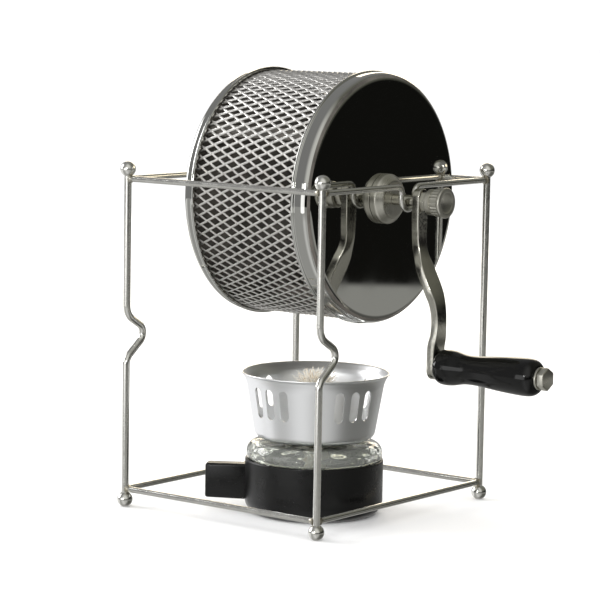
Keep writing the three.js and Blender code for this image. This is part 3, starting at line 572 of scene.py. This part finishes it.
def press_cap(name, node, body, face_x, direction, skirt, corner):
    """One cap: its section runs from the shaft's bore out to the skirt's bead and back inside."""
    skirt_x = face_x - direction * skirt
    back_x = face_x - direction * CAP_SHEET
    inside = DRUM_RADIUS - CAP_SHEET
    section = [
        (face_x, CAP_BORE), (face_x, DRUM_RADIUS, corner),
        (skirt_x + direction * 2.4 * BEAD, DRUM_RADIUS, 0.3),
        (skirt_x + direction * 2.0 * BEAD, DRUM_RADIUS + BEAD, BEAD * 0.7),
        (skirt_x, DRUM_RADIUS + BEAD, BEAD * 0.7), (skirt_x, inside, 0.2),
        (back_x, inside, corner - CAP_SHEET), (back_x, CAP_BORE),
    ]
    bm = bmesh.new()
    turned(bm, section, steps=160, segments=8)
    # Faces on the inside get the smoky finish, whose darkness is partly painted shade
    middle_of_sheet = face_x - direction * CAP_SHEET * 0.5
    for face in bm.faces:
        middle = face.calc_center_median()
        radius = math.hypot(middle.y, middle.z)
        within = (middle_of_sheet - middle.x) * direction > 0 and radius < DRUM_RADIUS - CAP_SHEET * 0.5
        on_corner = abs(middle.x - face_x) < corner and radius > DRUM_RADIUS - corner * 0.34
        if within and not on_corner:
            face.material_index = 1
    move(bm, bm.verts, SHAFT_LINE)
    finish_piece(bm, name, body, [mirror_steel, smoke_and_shade_steel], [node], 50)


press_cap("mirror_cap_crank_end", "crank_end_cap", "drum", 51.4, 1, 11.0, 4.5)
press_cap("mirror_cap_lid_end", "lid_end_cap", "lid", -34.6, -1, 7.5, 3.0)

# %% [markdown]
# Inside, three folded vanes lift the beans. They are the measured pieces with the smoky finish,
# which is dark partly as painted shade: a measured piece whose shape is right needs only its material.

# %% Finish the vanes
# The vanes' smoky finish is dark partly as painted shade of the drum's inside
for name in ("vane_1", "vane_2", "vane_3"):
    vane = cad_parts[name]
    vane.data.materials.clear()
    vane.data.materials.append(smoke_and_shade_steel)
print("vanes finished")

# %% [markdown]
# ## The shaft and its fittings
#
# The shaft runs right through the drum. A chamfered collar clamps it at the crank end, and at the
# lid end a smaller collar has a thumb screw, which is loosened to slide the lid off.

# %% Shaft and collars
turned_piece("steel_shaft", "drum", "chromed_steel", chrome, "drum_shaft",
             [(-74.0, 0), (-74.0, 3.0, 0.5), (88.8, 3.0, 0.5), (88.8, 0)],
             SHAFT_LINE, closed=False, steps=40)
turned_piece("chamfered_collar", "drum", "chromed_steel", turned_steel, "crank_end_hub",
             [(51.5, 3.1), (51.5, 13.8, 0.3), (55.1, 13.8, 0.7), (58.5, 10.4, 0.7), (58.5, 3.1)],
             SHAFT_LINE)
turned_piece("lid_collar", "lid", "chromed_steel", turned_steel, "lid_hub",
             [(-34.9, 3.1), (-34.9, 11.0, 0.4), (-44.9, 11.0, 1.0), (-44.9, 3.1)],
             SHAFT_LINE, steps=72)

# %% [markdown]
# A part that fingers turn is given flutes so that it doesn't slip. They are milled all round the
# head's side, so here each point of that side is drawn in by a wave that goes round with the angle.

# %% Thumb screw and thumb knob
FLUTES = 24
RIM = 0.9  # only points this close to the head's radius are pressed in


def flute(verts, low, high, radius, depth, axis):
    """Presses flutes into a turned head, between two heights along its axis."""
    first, second = (1, 2) if axis == "X" else (0, 1)
    for vert in verts:
        along = vert.co.x if axis == "X" else vert.co.z
        out = math.hypot(vert.co[first], vert.co[second])
        if low < along < high and out > radius - RIM:
            angle = math.atan2(vert.co[second], vert.co[first])
            pull = 1 - depth * (0.5 + 0.5 * math.cos(angle * FLUTES)) / out
            vert.co[first] *= pull
            vert.co[second] *= pull


SCREW_X = -39.9  # the middle of the lid's collar
bm = bmesh.new()
screw = turned(bm, [(3.3, 0), (3.3, 2.0, 0.2), (14.0, 2.0), (14.0, 4.0, 0.4), (19.0, 4.0, 0.5),
                    (19.0, 0)], axis="Z", closed=False)
flute(screw, 14.2, 18.8, 4.0, 0.3, "Z")
move(bm, screw, (SCREW_X, 0, AXIS_Z))
finish_piece(bm, "lid_clamp_screw", "lid", [turned_steel], ["lid_thumb_screw"])

bm = bmesh.new()
knob = turned(bm, [(89.2, 0), (89.2, 3.1), (82.1, 3.1), (82.1, 7.1, 0.8), (85.3, 7.1), (85.8, 6.5),
                   (86.3, 7.6, 0.3), (91.1, 7.6, 0.3), (91.6, 8.25, 0.5), (93.3, 8.25, 0.8),
                   (93.3, 5.9, 0.4), (92.7, 4.8), (92.7, 0)], closed=False, steps=144)
flute(knob, 86.2, 91.3, 7.6, 0.4, "X")
move(bm, knob, SHAFT_LINE)
finish_piece(bm, "fluted_thumb_knob", "drum", [turned_steel], ["crank_thumb_knob"])

# %% [markdown]
# A nut starts as hexagon bar. So the blank is a cone with six sides and two equal radii, which is a
# six-sided prism, and a `bevel` on all its edges breaks them, as tumbling does to a real nut.

# %% Hexagon nuts
def round_edges(bm, edges, radius, segments):
    bmesh.ops.bevel(bm, geom=edges, offset=radius, offset_type="OFFSET", segments=segments,
                    profile=0.5, affect="EDGES", clamp_overlap=True, material=-1)


def hex_nut(bm, start, length, across_flats, turn=0.0, broken=0.35):
    """A six-sided prism along X with its edges broken, turned a little as a nut ends up."""
    corner = across_flats / 2 / math.cos(math.pi / 6)
    lie_down = (Matrix.Translation((start + length / 2, 0, 0))
                @ Matrix.Rotation(math.radians(turn), 4, "X") @ Matrix.Rotation(math.pi / 2, 4, "Y"))
    made = bmesh.ops.create_cone(bm, cap_ends=True, segments=6, radius1=corner, radius2=corner,
                                 depth=length, matrix=lie_down)["verts"]
    round_edges(bm, edges_of(made), broken, 3)


bm = bmesh.new()
hex_nut(bm, 78.2, 3.6, 10.0)
move(bm, bm.verts, SHAFT_LINE)
finish_piece(bm, "arm_lock_nut", "drum", [turned_steel], ["crank_lock_nut"])

# %% [markdown]
# ## The crank
#
# The arm is a flat bar with rounded ends that was bent in a die. Its bent line comes first. It runs
# down from the shaft, bulges outwards and ends in a straight pad. The bar's half width changes on
# the way, so it is a second line. Both are given at a few places and joined by Bezier curves.

# %% The crank's line and its width
CRANK = 88.9  # from the shaft's axis to the grip's
ARM_X, ARM_THICK = 75.5, 4.8
ARM_BULGE, PAD_OFFSET = 14.3, 12.7  # how far out the bulge and the pad are
ARM_TOP = 7.0  # how far the bar reaches above the shaft's axis
PAD_ABOVE, PAD_BELOW = 9.0, 7.5  # the straight pad, from the grip's axis
# Shares of the crank down and of the bulge out
ARM_SHARES = [(0, 0), (0.17, 0), (0.26, 0.02), (0.33, 0.12), (0.39, 0.27), (0.45, 0.44),
              (0.52, 0.66), (0.6, 0.87), (0.67, 0.97), (0.75, 1), (0.82, 0.97)]
# Share of the crank down, and the half width there
ARM_HALF_WIDTHS = [(-0.1, 4.5), (0.05, 4.4), (0.15, 4.25), (0.26, 3.75), (0.33, 4.2), (0.385, 5.5),
                   (0.44, 6.0), (0.5, 6.1), (0.56, 5.9), (0.6, 5.2), (0.65, 4.65), (0.71, 4.27),
                   (0.77, 4.27), (0.82, 4.8), (0.87, 5.3), (1.1, 5.4)]


def smooth_line(points, per_span=12):
    """A curve through points: each span is a Bezier whose handles follow its neighbours."""
    points = [Vector(point) for point in points]
    line = []
    for i in range(len(points) - 1):
        before, after = points[max(i - 1, 0)], points[min(i + 2, len(points) - 1)]
        low = points[i] + (points[i + 1] - before) / 6
        high = points[i + 1] - (after - points[i]) / 6
        line += interpolate_bezier(points[i], low, high, points[i + 1], per_span + 1)[:-1]
    return line + [points[-1]]


spine = smooth_line([(ARM_X, 0, ARM_TOP),
                     *((ARM_X + ARM_BULGE * out, 0, -CRANK * down) for down, out in ARM_SHARES),
                     (ARM_X + PAD_OFFSET, 0, -CRANK + PAD_ABOVE),
                     (ARM_X + PAD_OFFSET, 0, -CRANK - PAD_BELOW)])
widths = smooth_line([(down, half, 0) for down, half in ARM_HALF_WIDTHS], 6)
lengths = [0.0]
for a, b in zip(spine, spine[1:]):
    lengths.append(lengths[-1] + (b - a).length)
arm_length = lengths[-1]
print("the bar is", round(arm_length, 1), "mm long before it is bent")

# %% [markdown]
# The bar is then made as its maker would. A hull round two discs gives the flat blank, and a
# `bevel` takes off its sharp rim. Planes slice it, so that it can bend, and each slice is carried to
# its place on the line, with the bar's thickness kept square to the line.

# %% Cut and bend the crank arm
TOP_RADIUS, PAD_RADIUS = 4.5, 5.4  # the blank's rounded ends
BLANK_TAPER = 0.9  # how much its half width grows from end to end
RIM_ANGLE = 1.0  # radians: only the edges between face and side are sharper
SLICES = 90

bm = bmesh.new()
for centre, radius in ((TOP_RADIUS, TOP_RADIUS), (arm_length - PAD_RADIUS, PAD_RADIUS)):
    lie_down = Matrix.Translation((0, 0, -centre)) @ Matrix.Rotation(math.pi / 2, 4, "Y")
    bmesh.ops.create_cone(bm, cap_ends=True, segments=40, radius1=radius, radius2=radius,
                          depth=ARM_THICK, matrix=lie_down)
bmesh.ops.delete(bm, geom=bm.faces[:], context="FACES_ONLY")
hull = bmesh.ops.convex_hull(bm, input=bm.verts[:])
left_inside = dict.fromkeys(g for g in hull["geom_interior"] if isinstance(g, bmesh.types.BMVert))
bmesh.ops.delete(bm, geom=list(left_inside), context="VERTS")
bmesh.ops.dissolve_limit(bm, angle_limit=0.02, verts=bm.verts[:], edges=bm.edges[:])
rim_edges = [edge for edge in bm.edges
             if len(edge.link_faces) == 2 and edge.calc_face_angle() > RIM_ANGLE]
round_edges(bm, rim_edges, 0.7, 4)
for i in range(1, SLICES):
    cut(bm, (0, 0, -arm_length * i / SLICES), (0, 0, 1), dist=0.0001)
for vert in bm.verts:
    down = min(max(-vert.co.z, 0.0), arm_length - 0.001)
    i = max(k for k, reached in enumerate(lengths[:-1]) if reached <= down)
    share = (down - lengths[i]) / (lengths[i + 1] - lengths[i])
    before, after = spine[max(i - 1, 0)], spine[min(i + 2, len(spine) - 1)]
    ahead = (after - before).normalized()
    across = Vector((-ahead.z, 0, ahead.x))
    middle = spine[i].lerp(spine[i + 1], share)
    low, high = next(pair for pair in zip(widths, widths[1:]) if pair[1].x >= -middle.z / CRANK)
    wanted = low.lerp(high, (-middle.z / CRANK - low.x) / (high.x - low.x)).y
    wide = vert.co.y * wanted / (TOP_RADIUS + BLANK_TAPER * down / arm_length)
    vert.co = middle + across * vert.co.x + Vector((0, wide, 0))
move(bm, bm.verts, SHAFT_LINE)
finish_piece(bm, "bent_crank_arm", "drum", [chrome], ["crank_arm"], 40)

# %% [markdown]
# The grip turns on a spindle that is riveted through the arm's foot. Its outline is a smooth line
# through points along its length: a bulb at the arm, a waist for the thumb and a long belly. A
# washer and a nut keep it on the spindle.

# %% Grip, spindle, washer and end nut
GRIP_X, GRIP_LENGTH, GRIP_RADIUS = 90.9, 63.6, 10.2
GRIP_BORE = 2.8
GRIP_LINE = (0, 0, AXIS_Z - CRANK)
# Shares of the grip's length along and of its radius out
GRIP_SHARES = [(0, 0.66), (0.012, 0.8), (0.035, 0.9), (0.07, 0.945), (0.12, 0.95), (0.17, 0.915),
               (0.22, 0.85), (0.27, 0.795), (0.33, 0.775), (0.41, 0.79), (0.5, 0.84), (0.6, 0.9),
               (0.7, 0.95), (0.8, 0.985), (0.88, 1), (0.94, 0.97), (0.975, 0.87), (0.993, 0.74),
               (1, 0.64)]
outline = smooth_line([(GRIP_X + GRIP_LENGTH * along, 0, GRIP_RADIUS * out)
                       for along, out in GRIP_SHARES], 4)
turned_piece("phenolic_grip", "grip", "black_plastic", black_plastic, "crank_grip",
             [(GRIP_X, GRIP_BORE), *((point.x, point.z) for point in outline),
              (GRIP_X + GRIP_LENGTH, GRIP_BORE)], GRIP_LINE, steps=72)
turned_piece("riveted_spindle", "drum", "chromed_steel", chrome, "grip_spindle",
             [(84.6, 0), (84.6, 3.5, 0.5), (85.5, 3.5, 0.1), (85.5, 2.5), (159.0, 2.5), (159.0, 0)],
             GRIP_LINE, closed=False, steps=40)
turned_piece("end_washer", "drum", "chromed_steel", turned_steel, "grip_washer",
             [(154.8, 2.8), (154.8, 6.1, 0.3), (156.1, 6.1, 0.3), (156.1, 2.8)],
             GRIP_LINE, steps=60)
bm = bmesh.new()
hex_nut(bm, 156.3, 4.3, 11.0, turn=30, broken=0.8)
move(bm, bm.verts, GRIP_LINE)
finish_piece(bm, "end_nut_steel", "drum", [turned_steel], ["grip_end_nut"])

# %% [markdown]
# ## The burner
#
# A black holder stands on the table with the glass lamp in it. The holder is a turned cup with a
# soft foot, and a block handle moulded on its side. The block is a cube that is scaled, made a
# little lower at its outer end, and rounded, and it runs a little way into the cup's wall.

# %% Holder and its handle
BURNER = Vector((18.85, -16.1, 0))  # the burner's axis, where it stands on the table
HANDLE_LENGTH, HANDLE_WIDTH, HANDLE_HEIGHT = 25.0, 9.0, 20.1
HANDLE_TIP_HEIGHT = 19.5
HANDLE_REACH, HANDLE_Z = 61.0, 15.65  # its outer end from the burner's axis, its middle's height
HANDLE_TURN = 209.5  # degrees round from the crank's side

bm = bmesh.new()
turned(bm, [(0, 0), (0, 38.5, 7.5), (30.3, 38.5, 0.8), (30.3, 35.6, 0.6), (3.0, 35.6, 2.0), (3.0, 0)],
       axis="Z", closed=False, steps=128, segments=8)
cup = set(bm.verts)
block = bmesh.ops.create_cube(bm, size=1)["verts"]
bmesh.ops.scale(bm, verts=block, vec=(HANDLE_LENGTH, HANDLE_WIDTH, HANDLE_HEIGHT))
tip = [vert for vert in block if vert.co.x > 0]
bmesh.ops.scale(bm, verts=tip, vec=(1, 1, HANDLE_TIP_HEIGHT / HANDLE_HEIGHT))
round_edges(bm, edges_of(block), 1.5, 4)
block = [vert for vert in bm.verts if vert not in cup]
move(bm, block, (HANDLE_REACH - HANDLE_LENGTH / 2, 0, HANDLE_Z))
turn_about_z(bm, block, math.radians(HANDLE_TURN))
move(bm, bm.verts, BURNER)
finish_piece(bm, "phenolic_lamp_holder", "burner", [dull_plastic], ["burner_base"], 45)

# %% [markdown]
# The lamp is a pressed glass bowl. Its body drops into the holder and its round shoulder rests on
# the holder's edge. It has to be a closed wall with an outside and an inside, because light bends
# once at each. The wick's holder closes its neck with a wide flange.

# %% Glass lamp and wick holder
turned_piece("pressed_glass_lamp", "lamp", "clear_glass", clear_glass, "lamp_bowl",
             [(3.3, 0), (3.3, 35.2, 6.0), (30.5, 35.2, 0.5), (30.9, 37.8, 0.8), (39.8, 37.8, 5.6),
              (39.8, 8.6, 0.6), (37.8, 8.6, 0.6), (37.8, 33.4, 4.0), (5.3, 33.4, 4.0), (5.3, 0)],
             BURNER, 45, axis="Z", closed=False, steps=128, segments=10)
turned_piece("wick_tube_and_flange", "lamp", "chromed_steel", chrome, "wick_holder",
             [(35.3, 6.3), (35.3, 8.2, 0.3), (40.0, 8.2), (40.0, 18.0, 0.4), (41.6, 18.0, 0.4),
              (41.6, 8.2), (67.7, 8.2, 0.4), (67.7, 6.3)], BURNER, axis="Z", steps=72)

# %% [markdown]
# The wick is a bundle of cotton cords that are packed in the tube and fray where they stick out.
# Each strand is a small five-sided ring, extruded in steps that lean outwards and get thinner. The
# places come from a seeded random generator, so every run gives the same tuft.

# %% Wick and its tuft
STRANDS, STRAND_STEPS, STRAND_RADIUS = 150, 5, 0.55
THINNING = 0.86  # each step's thickness as a share of the last
TUFT_RADIUS, TUFT_Z, TUFT_TOP = 5.6, 68.6, 83.0
GOLDEN_ANGLE = 2.39996  # radians from strand to strand, which spreads them evenly over a disc

random.seed(7)
bm = bmesh.new()
turned(bm, [(8.0, 0), (8.0, 6.0, 0.8), (69.0, 6.0, 1.0), (70.5, 0)], axis="Z", closed=False, steps=40)
for k in range(STRANDS):
    out = TUFT_RADIUS * math.sqrt((k + 0.5) / STRANDS)
    angle = k * GOLDEN_ANGLE + random.uniform(-0.2, 0.2)
    place = Vector((out * math.cos(angle), out * math.sin(angle), TUFT_Z))
    heading = Vector((place.x * 0.13, place.y * 0.13, 1)).normalized()
    curl = Vector((random.uniform(-1, 1), random.uniform(-1, 1), random.uniform(-0.5, 0.1))) * 0.24
    step = (14.8 + random.uniform(-3.5, 1.0) - out * 0.75) / STRAND_STEPS
    ring = bmesh.ops.create_circle(bm, cap_ends=True, segments=5, radius=STRAND_RADIUS,
                                   matrix=Matrix.Translation(place))["verts"]
    loop = edges_of(ring)
    for _ in range(STRAND_STEPS):
        loop, verts = extrude_ring(bm, loop, heading * step)
        place = place + heading * step
        bmesh.ops.scale(bm, verts=verts, vec=(THINNING, THINNING, THINNING),
                        space=Matrix.Translation(-place))
        heading = (heading + curl + Vector((place.x, place.y, 0)) * 0.02).normalized()
    bmesh.ops.contextual_create(bm, geom=loop)
for vert in bm.verts:
    vert.co.z = min(vert.co.z, TUFT_TOP)
move(bm, bm.verts, BURNER)
finish_piece(bm, "cotton_wick", "lamp", [cotton], ["wick"], 80)

# %% [markdown]
# The wind shield is a cup of thin aluminium, spun to a flare, with its rim rolled outwards. It has
# no bottom in the middle, where the wick's tube comes through.

# %% Spin the wind shield
SHIELD_Z, SHIELD_THICK = 41.9, 0.8
SHIELD_CREASE = 40
shield = turned_piece(
    "spun_wind_shield", "shield", "aluminium", spun_aluminium, "wind_shield",
    [(SHIELD_Z, 12.0), (SHIELD_Z, 33.0, 4.0), (73.3, 38.35, 2.0), (77.8, 40.6, 1.2),
     (78.3, 41.5, 0.4), (78.9, 41.5, 0.3), (78.9, 40.6, 0.8), (74.1, 37.6, 2.0),
     (SHIELD_Z + SHIELD_THICK, 32.3, 3.2), (SHIELD_Z + SHIELD_THICK, 12.0)],
    BURNER, SHIELD_CREASE, axis="Z", steps=192, segments=6)

# %% [markdown]
# Groups of three slots are punched through its wall to let air in. The punch is twelve bars with
# rounded ends, made in one bmesh. A Boolean takes them away from the cup in one go. The result is
# kept as the piece's mesh, once `dissolve_degenerate` has closed the slivers that a cut can leave.

# %% Punch its slots
SLOT_GROUPS, GROUP_STEP, SLOT_STEP = 4, 78, 14.5  # degrees from group to group, and within one
FIRST_GROUP = -173  # degrees round from the crank's side
SLOT_WIDTH, SLOT_HEIGHT, SLOT_Z = 5.4, 17.0, 63.7
SLOT_ROUNDING = 2.69  # just under half the width, so that its ends are round
PUNCH_LENGTH, PUNCH_OUT = 16, 36  # the bar, and its middle's distance from the axis
SLIVER = 0.005  # edges shorter than this, in mm, are closed after the cut

punch = bmesh.new()
for slot in [FIRST_GROUP + GROUP_STEP * group + SLOT_STEP * i
             for group in range(SLOT_GROUPS) for i in (-1, 0, 1)]:
    before = set(punch.verts)
    bar = bmesh.ops.create_cube(punch, size=1)["verts"]
    bmesh.ops.scale(punch, verts=bar, vec=(PUNCH_LENGTH, SLOT_WIDTH, SLOT_HEIGHT))
    lengthways = [edge for edge in edges_of(bar) if abs(edge.verts[0].co.x - edge.verts[1].co.x) > 1]
    round_edges(punch, lengthways, SLOT_ROUNDING, 12)
    bar = [vert for vert in punch.verts if vert not in before]
    move(punch, bar, (PUNCH_OUT, 0, SLOT_Z))
    turn_about_z(punch, bar, math.radians(slot))
bmesh.ops.recalc_face_normals(punch, faces=punch.faces)
move(punch, punch.verts, BURNER + Vector((STAND_MIDDLE, 0, 0)))
bmesh.ops.scale(punch, verts=punch.verts, vec=(MM, MM, MM))
punch_mesh = bpy.data.meshes.new("slot_punch")
punch.to_mesh(punch_mesh)
punch.free()
punch_tool = bpy.data.objects.new("slot_punch", punch_mesh)
bpy.context.scene.collection.objects.link(punch_tool)

punching = shield.modifiers.new("slots", "BOOLEAN")
punching.operation, punching.solver, punching.object = "DIFFERENCE", "EXACT", punch_tool
bpy.context.view_layer.update()
punched = bpy.data.meshes.new_from_object(shield.evaluated_get(bpy.context.evaluated_depsgraph_get()))
bm = bmesh.new()
bm.from_mesh(punched)
bmesh.ops.dissolve_degenerate(bm, dist=SLIVER * MM, edges=bm.edges)
bm.to_mesh(punched)
bm.free()
shield.modifiers.clear()
shield.data = punched
punched.set_sharp_from_angle(angle=math.radians(SHIELD_CREASE))
bpy.data.objects.remove(punch_tool)
print("the shield has", len(punched.polygons), "faces after punching")

# %% [markdown]
# ## Light, floor and camera
#
# A polished object shows its surroundings more than itself, so the studio is part of the finish.
# To the eye, the floor and the room are plain pale paper that lights everything softly from all
# round. Steel has to show something else, so the floor is left out of reflections.

# %% Floor
FLOOR_SIDE = 12.0  # metres from the middle to each edge
bm = bmesh.new()
bmesh.ops.create_grid(bm, x_segments=1, y_segments=1, size=FLOOR_SIDE)
floor_mesh = bpy.data.meshes.new("pale_floor")
bm.to_mesh(floor_mesh)
bm.free()
floor = bpy.data.objects.new("pale_floor", floor_mesh)
bpy.context.scene.collection.objects.link(floor)
floor_mesh.materials.append(new_finish("pale floor", Base_Color=linear("#f7f7f7"), Roughness=0.8))
floor.visible_glossy = False
print("the floor is", 2 * FLOOR_SIDE, "m wide")

# %% [markdown]
# What a reflection sees is a second room, painted on the world by direction alone. A direction has
# three parts: X to the right, Y to the back and Z up. Each share below goes from 0 to 1 as one of
# them goes from one value to another.

# %% Directions in the room
TABLE_EDGE = math.sin(math.radians(-6.4))  # how low the table's far edge is, seen from the drum

world = bpy.data.worlds.new("studio")
bpy.context.scene.world = world
world.use_nodes = True
tree = world.node_tree
tree.nodes.clear()
direction = add_node(tree, "ShaderNodeTexCoord").outputs["Generated"]
parts = add_node(tree, "ShaderNodeSeparateXYZ", {"Vector": direction}).outputs

shares = {}
for name, part, start, end in (
        ("to_right_half", "X", -0.3, 0.3),
        ("to_right_edge", "X", 0.1, 0.5),
        ("to_far_left", "X", -0.64, -0.76),
        ("to_camera", "Y", 0.1, -0.4),
        ("upward", "Z", -1.0, 1.0),
        ("steeply_down", "Z", -0.16, -0.32),
        ("over_table", "Z", TABLE_EDGE - 0.001, TABLE_EDGE + 0.001)):
    shares[name] = add_node(tree, "ShaderNodeMapRange",
                            {"Value": parts[part], "From Min": start, "From Max": end}).outputs["Result"]

print("the room is divided by", len(shares), "shares")

# %% [markdown]
# A table ends 6.4 degrees below the drum. It is white at the far left and where it comes near the
# camera, and grey elsewhere. The walls above it are an even mid grey on the left. On the right they
# are almost black and grow lighter as they rise, most of all behind the camera. The Light Path node
# keeps this room for rays that leave a shiny surface, and gives white paper to all others.

# %% Tones of the room
# Three tones change with the height that is looked at
tones = {}
for name, low, high, start, end in (
        ("right_wall", "#161614", "#74746a", 0.53, 0.7),
        ("wall_behind_camera", "#161614", "#e8e8e4", 0.51, 0.6),
        ("far_table", "#62625e", "#a6a6a2", 0.34, 0.41)):
    tones[name] = add_node(tree, "ShaderNodeValToRGB", {"Fac": shares["upward"]},
                           [(start, linear(low)), (end, linear(high))]).outputs["Color"]

# The others are mixed from two colours or two tones
for name, share, first, second in (
        ("dark_walls", "to_camera", "right_wall", "wall_behind_camera"),
        ("walls", "to_right_half", "#929292", "dark_walls"),
        ("lit_table", "to_right_edge", "#ffffff", "#cacac8"),
        ("table_at_camera", "steeply_down", "#a6a6a2", "lit_table"),
        ("right_table", "to_camera", "far_table", "table_at_camera"),
        ("left_table", "to_far_left", "#b4b4b2", "#ffffff"),
        ("table", "to_right_half", "left_table", "right_table"),
        ("room", "over_table", "table", "walls")):
    pair = [tones[tone] if tone in tones else linear(tone) for tone in (first, second)]
    tones[name] = add_node(tree, "ShaderNodeMix", {"Factor": shares[share], 6: pair[0], 7: pair[1]},
                           data_type="RGBA").outputs[2]

in_steel = add_node(tree, "ShaderNodeLightPath").outputs["Is Glossy Ray"]
room = add_node(tree, "ShaderNodeBackground", {"Color": tones["room"], "Strength": 1.0})
paper = add_node(tree, "ShaderNodeBackground", {"Color": linear("#ffffff"), "Strength": 1.2})
mixed = add_node(tree, "ShaderNodeMixShader",
                 {0: in_steel, 1: paper.outputs["Background"], 2: room.outputs["Background"]})
add_node(tree, "ShaderNodeOutputWorld", {"Surface": mixed.outputs["Shader"]})
print("the room has", len(tones), "tones")

# %% [markdown]
# The bright lines on the wires and on the drum's edge are windows and a lamp in the reflection. A
# real studio has soft boxes there, and here they are area lights that face the object. Each one's
# power follows from how bright its surface should look, so a bigger panel doesn't look brighter.

# %% Light panels
LIGHT_TARGET = Vector((-0.03, 0, 0.15))  # metres, a little below the drum's axis


def soft_panel(name, place, size, glow, colour="#ffffff"):
    """An area light that faces the drum. Its glow is how bright its surface looks, white being 1."""
    data = bpy.data.lights.new(name, "AREA")
    data.shape, data.size, data.size_y = "RECTANGLE", size[0], size[1]
    data.energy, data.color = glow * math.pi * size[0] * size[1], linear(colour)[:3]
    lamp = bpy.data.objects.new(name, data)
    lamp.location = place
    lamp.rotation_euler = (LIGHT_TARGET - Vector(place)).to_track_quat("-Z", "Y").to_euler()
    lamp.visible_camera = False
    bpy.context.scene.collection.objects.link(lamp)
    print(name, "gives", round(data.energy, 2), "W")


soft_panel("left_window", (-1.6, -0.45, 0.7), (0.9, 1.0), 7.0)
soft_panel("low_front_window", (-0.157, -1.49, 0.185), (1.336, 0.63), 1.45)
soft_panel("back_panel", (-1.0, 1.45, 0.7), (1.2, 0.7), 3.2, "#fff1d6")
soft_panel("front_lamp", (0.3, -1.55, 0.45), (0.14, 0.14), 50)

# %% [markdown]
# The camera stands where the photograph was taken from: 1.45 m away, a little above the drum's
# axis, seen through a long lens. Its place was solved from the stand's corners and the drum's
# circles, and it is written as a yaw, a pitch and a slight roll.

# %% Camera
YAW, PITCH, ROLL = math.radians(37.64), math.radians(6.76), math.radians(1.02)
CAMERA_PLACE = Vector((884.4 + STAND_MIDDLE, -1153.9, 288.0))  # mm
SENSOR = 36.0  # mm
FOCAL_PIXELS, PHOTO_PIXELS = 2601, 600  # the lens in the photograph's pixels, and its width

ahead = Vector((-math.sin(YAW) * math.cos(PITCH), math.cos(YAW) * math.cos(PITCH), -math.sin(PITCH)))
level_right = ahead.cross(Vector((0, 0, 1))).normalized()
level_up = level_right.cross(ahead)
right = level_right * math.cos(ROLL) + level_up * math.sin(ROLL)
up = level_up * math.cos(ROLL) - level_right * math.sin(ROLL)
camera_data = bpy.data.cameras.new("photograph_camera")
camera_data.sensor_width = SENSOR
camera_data.lens = SENSOR * FOCAL_PIXELS / PHOTO_PIXELS
camera_data.clip_start, camera_data.clip_end = 0.05, 50
camera = bpy.data.objects.new("photograph_camera", camera_data)
camera.matrix_world = (Matrix.Translation(CAMERA_PLACE * MM)
                       @ Matrix((right, up, -ahead)).transposed().to_4x4())
bpy.context.scene.collection.objects.link(camera)
bpy.context.scene.camera = camera
bpy.context.scene.view_settings.view_transform = "Standard"
print("camera at", [round(value, 3) for value in camera.location])

# %% [markdown]
# ## The end

# %% The end
print("the scene is built")
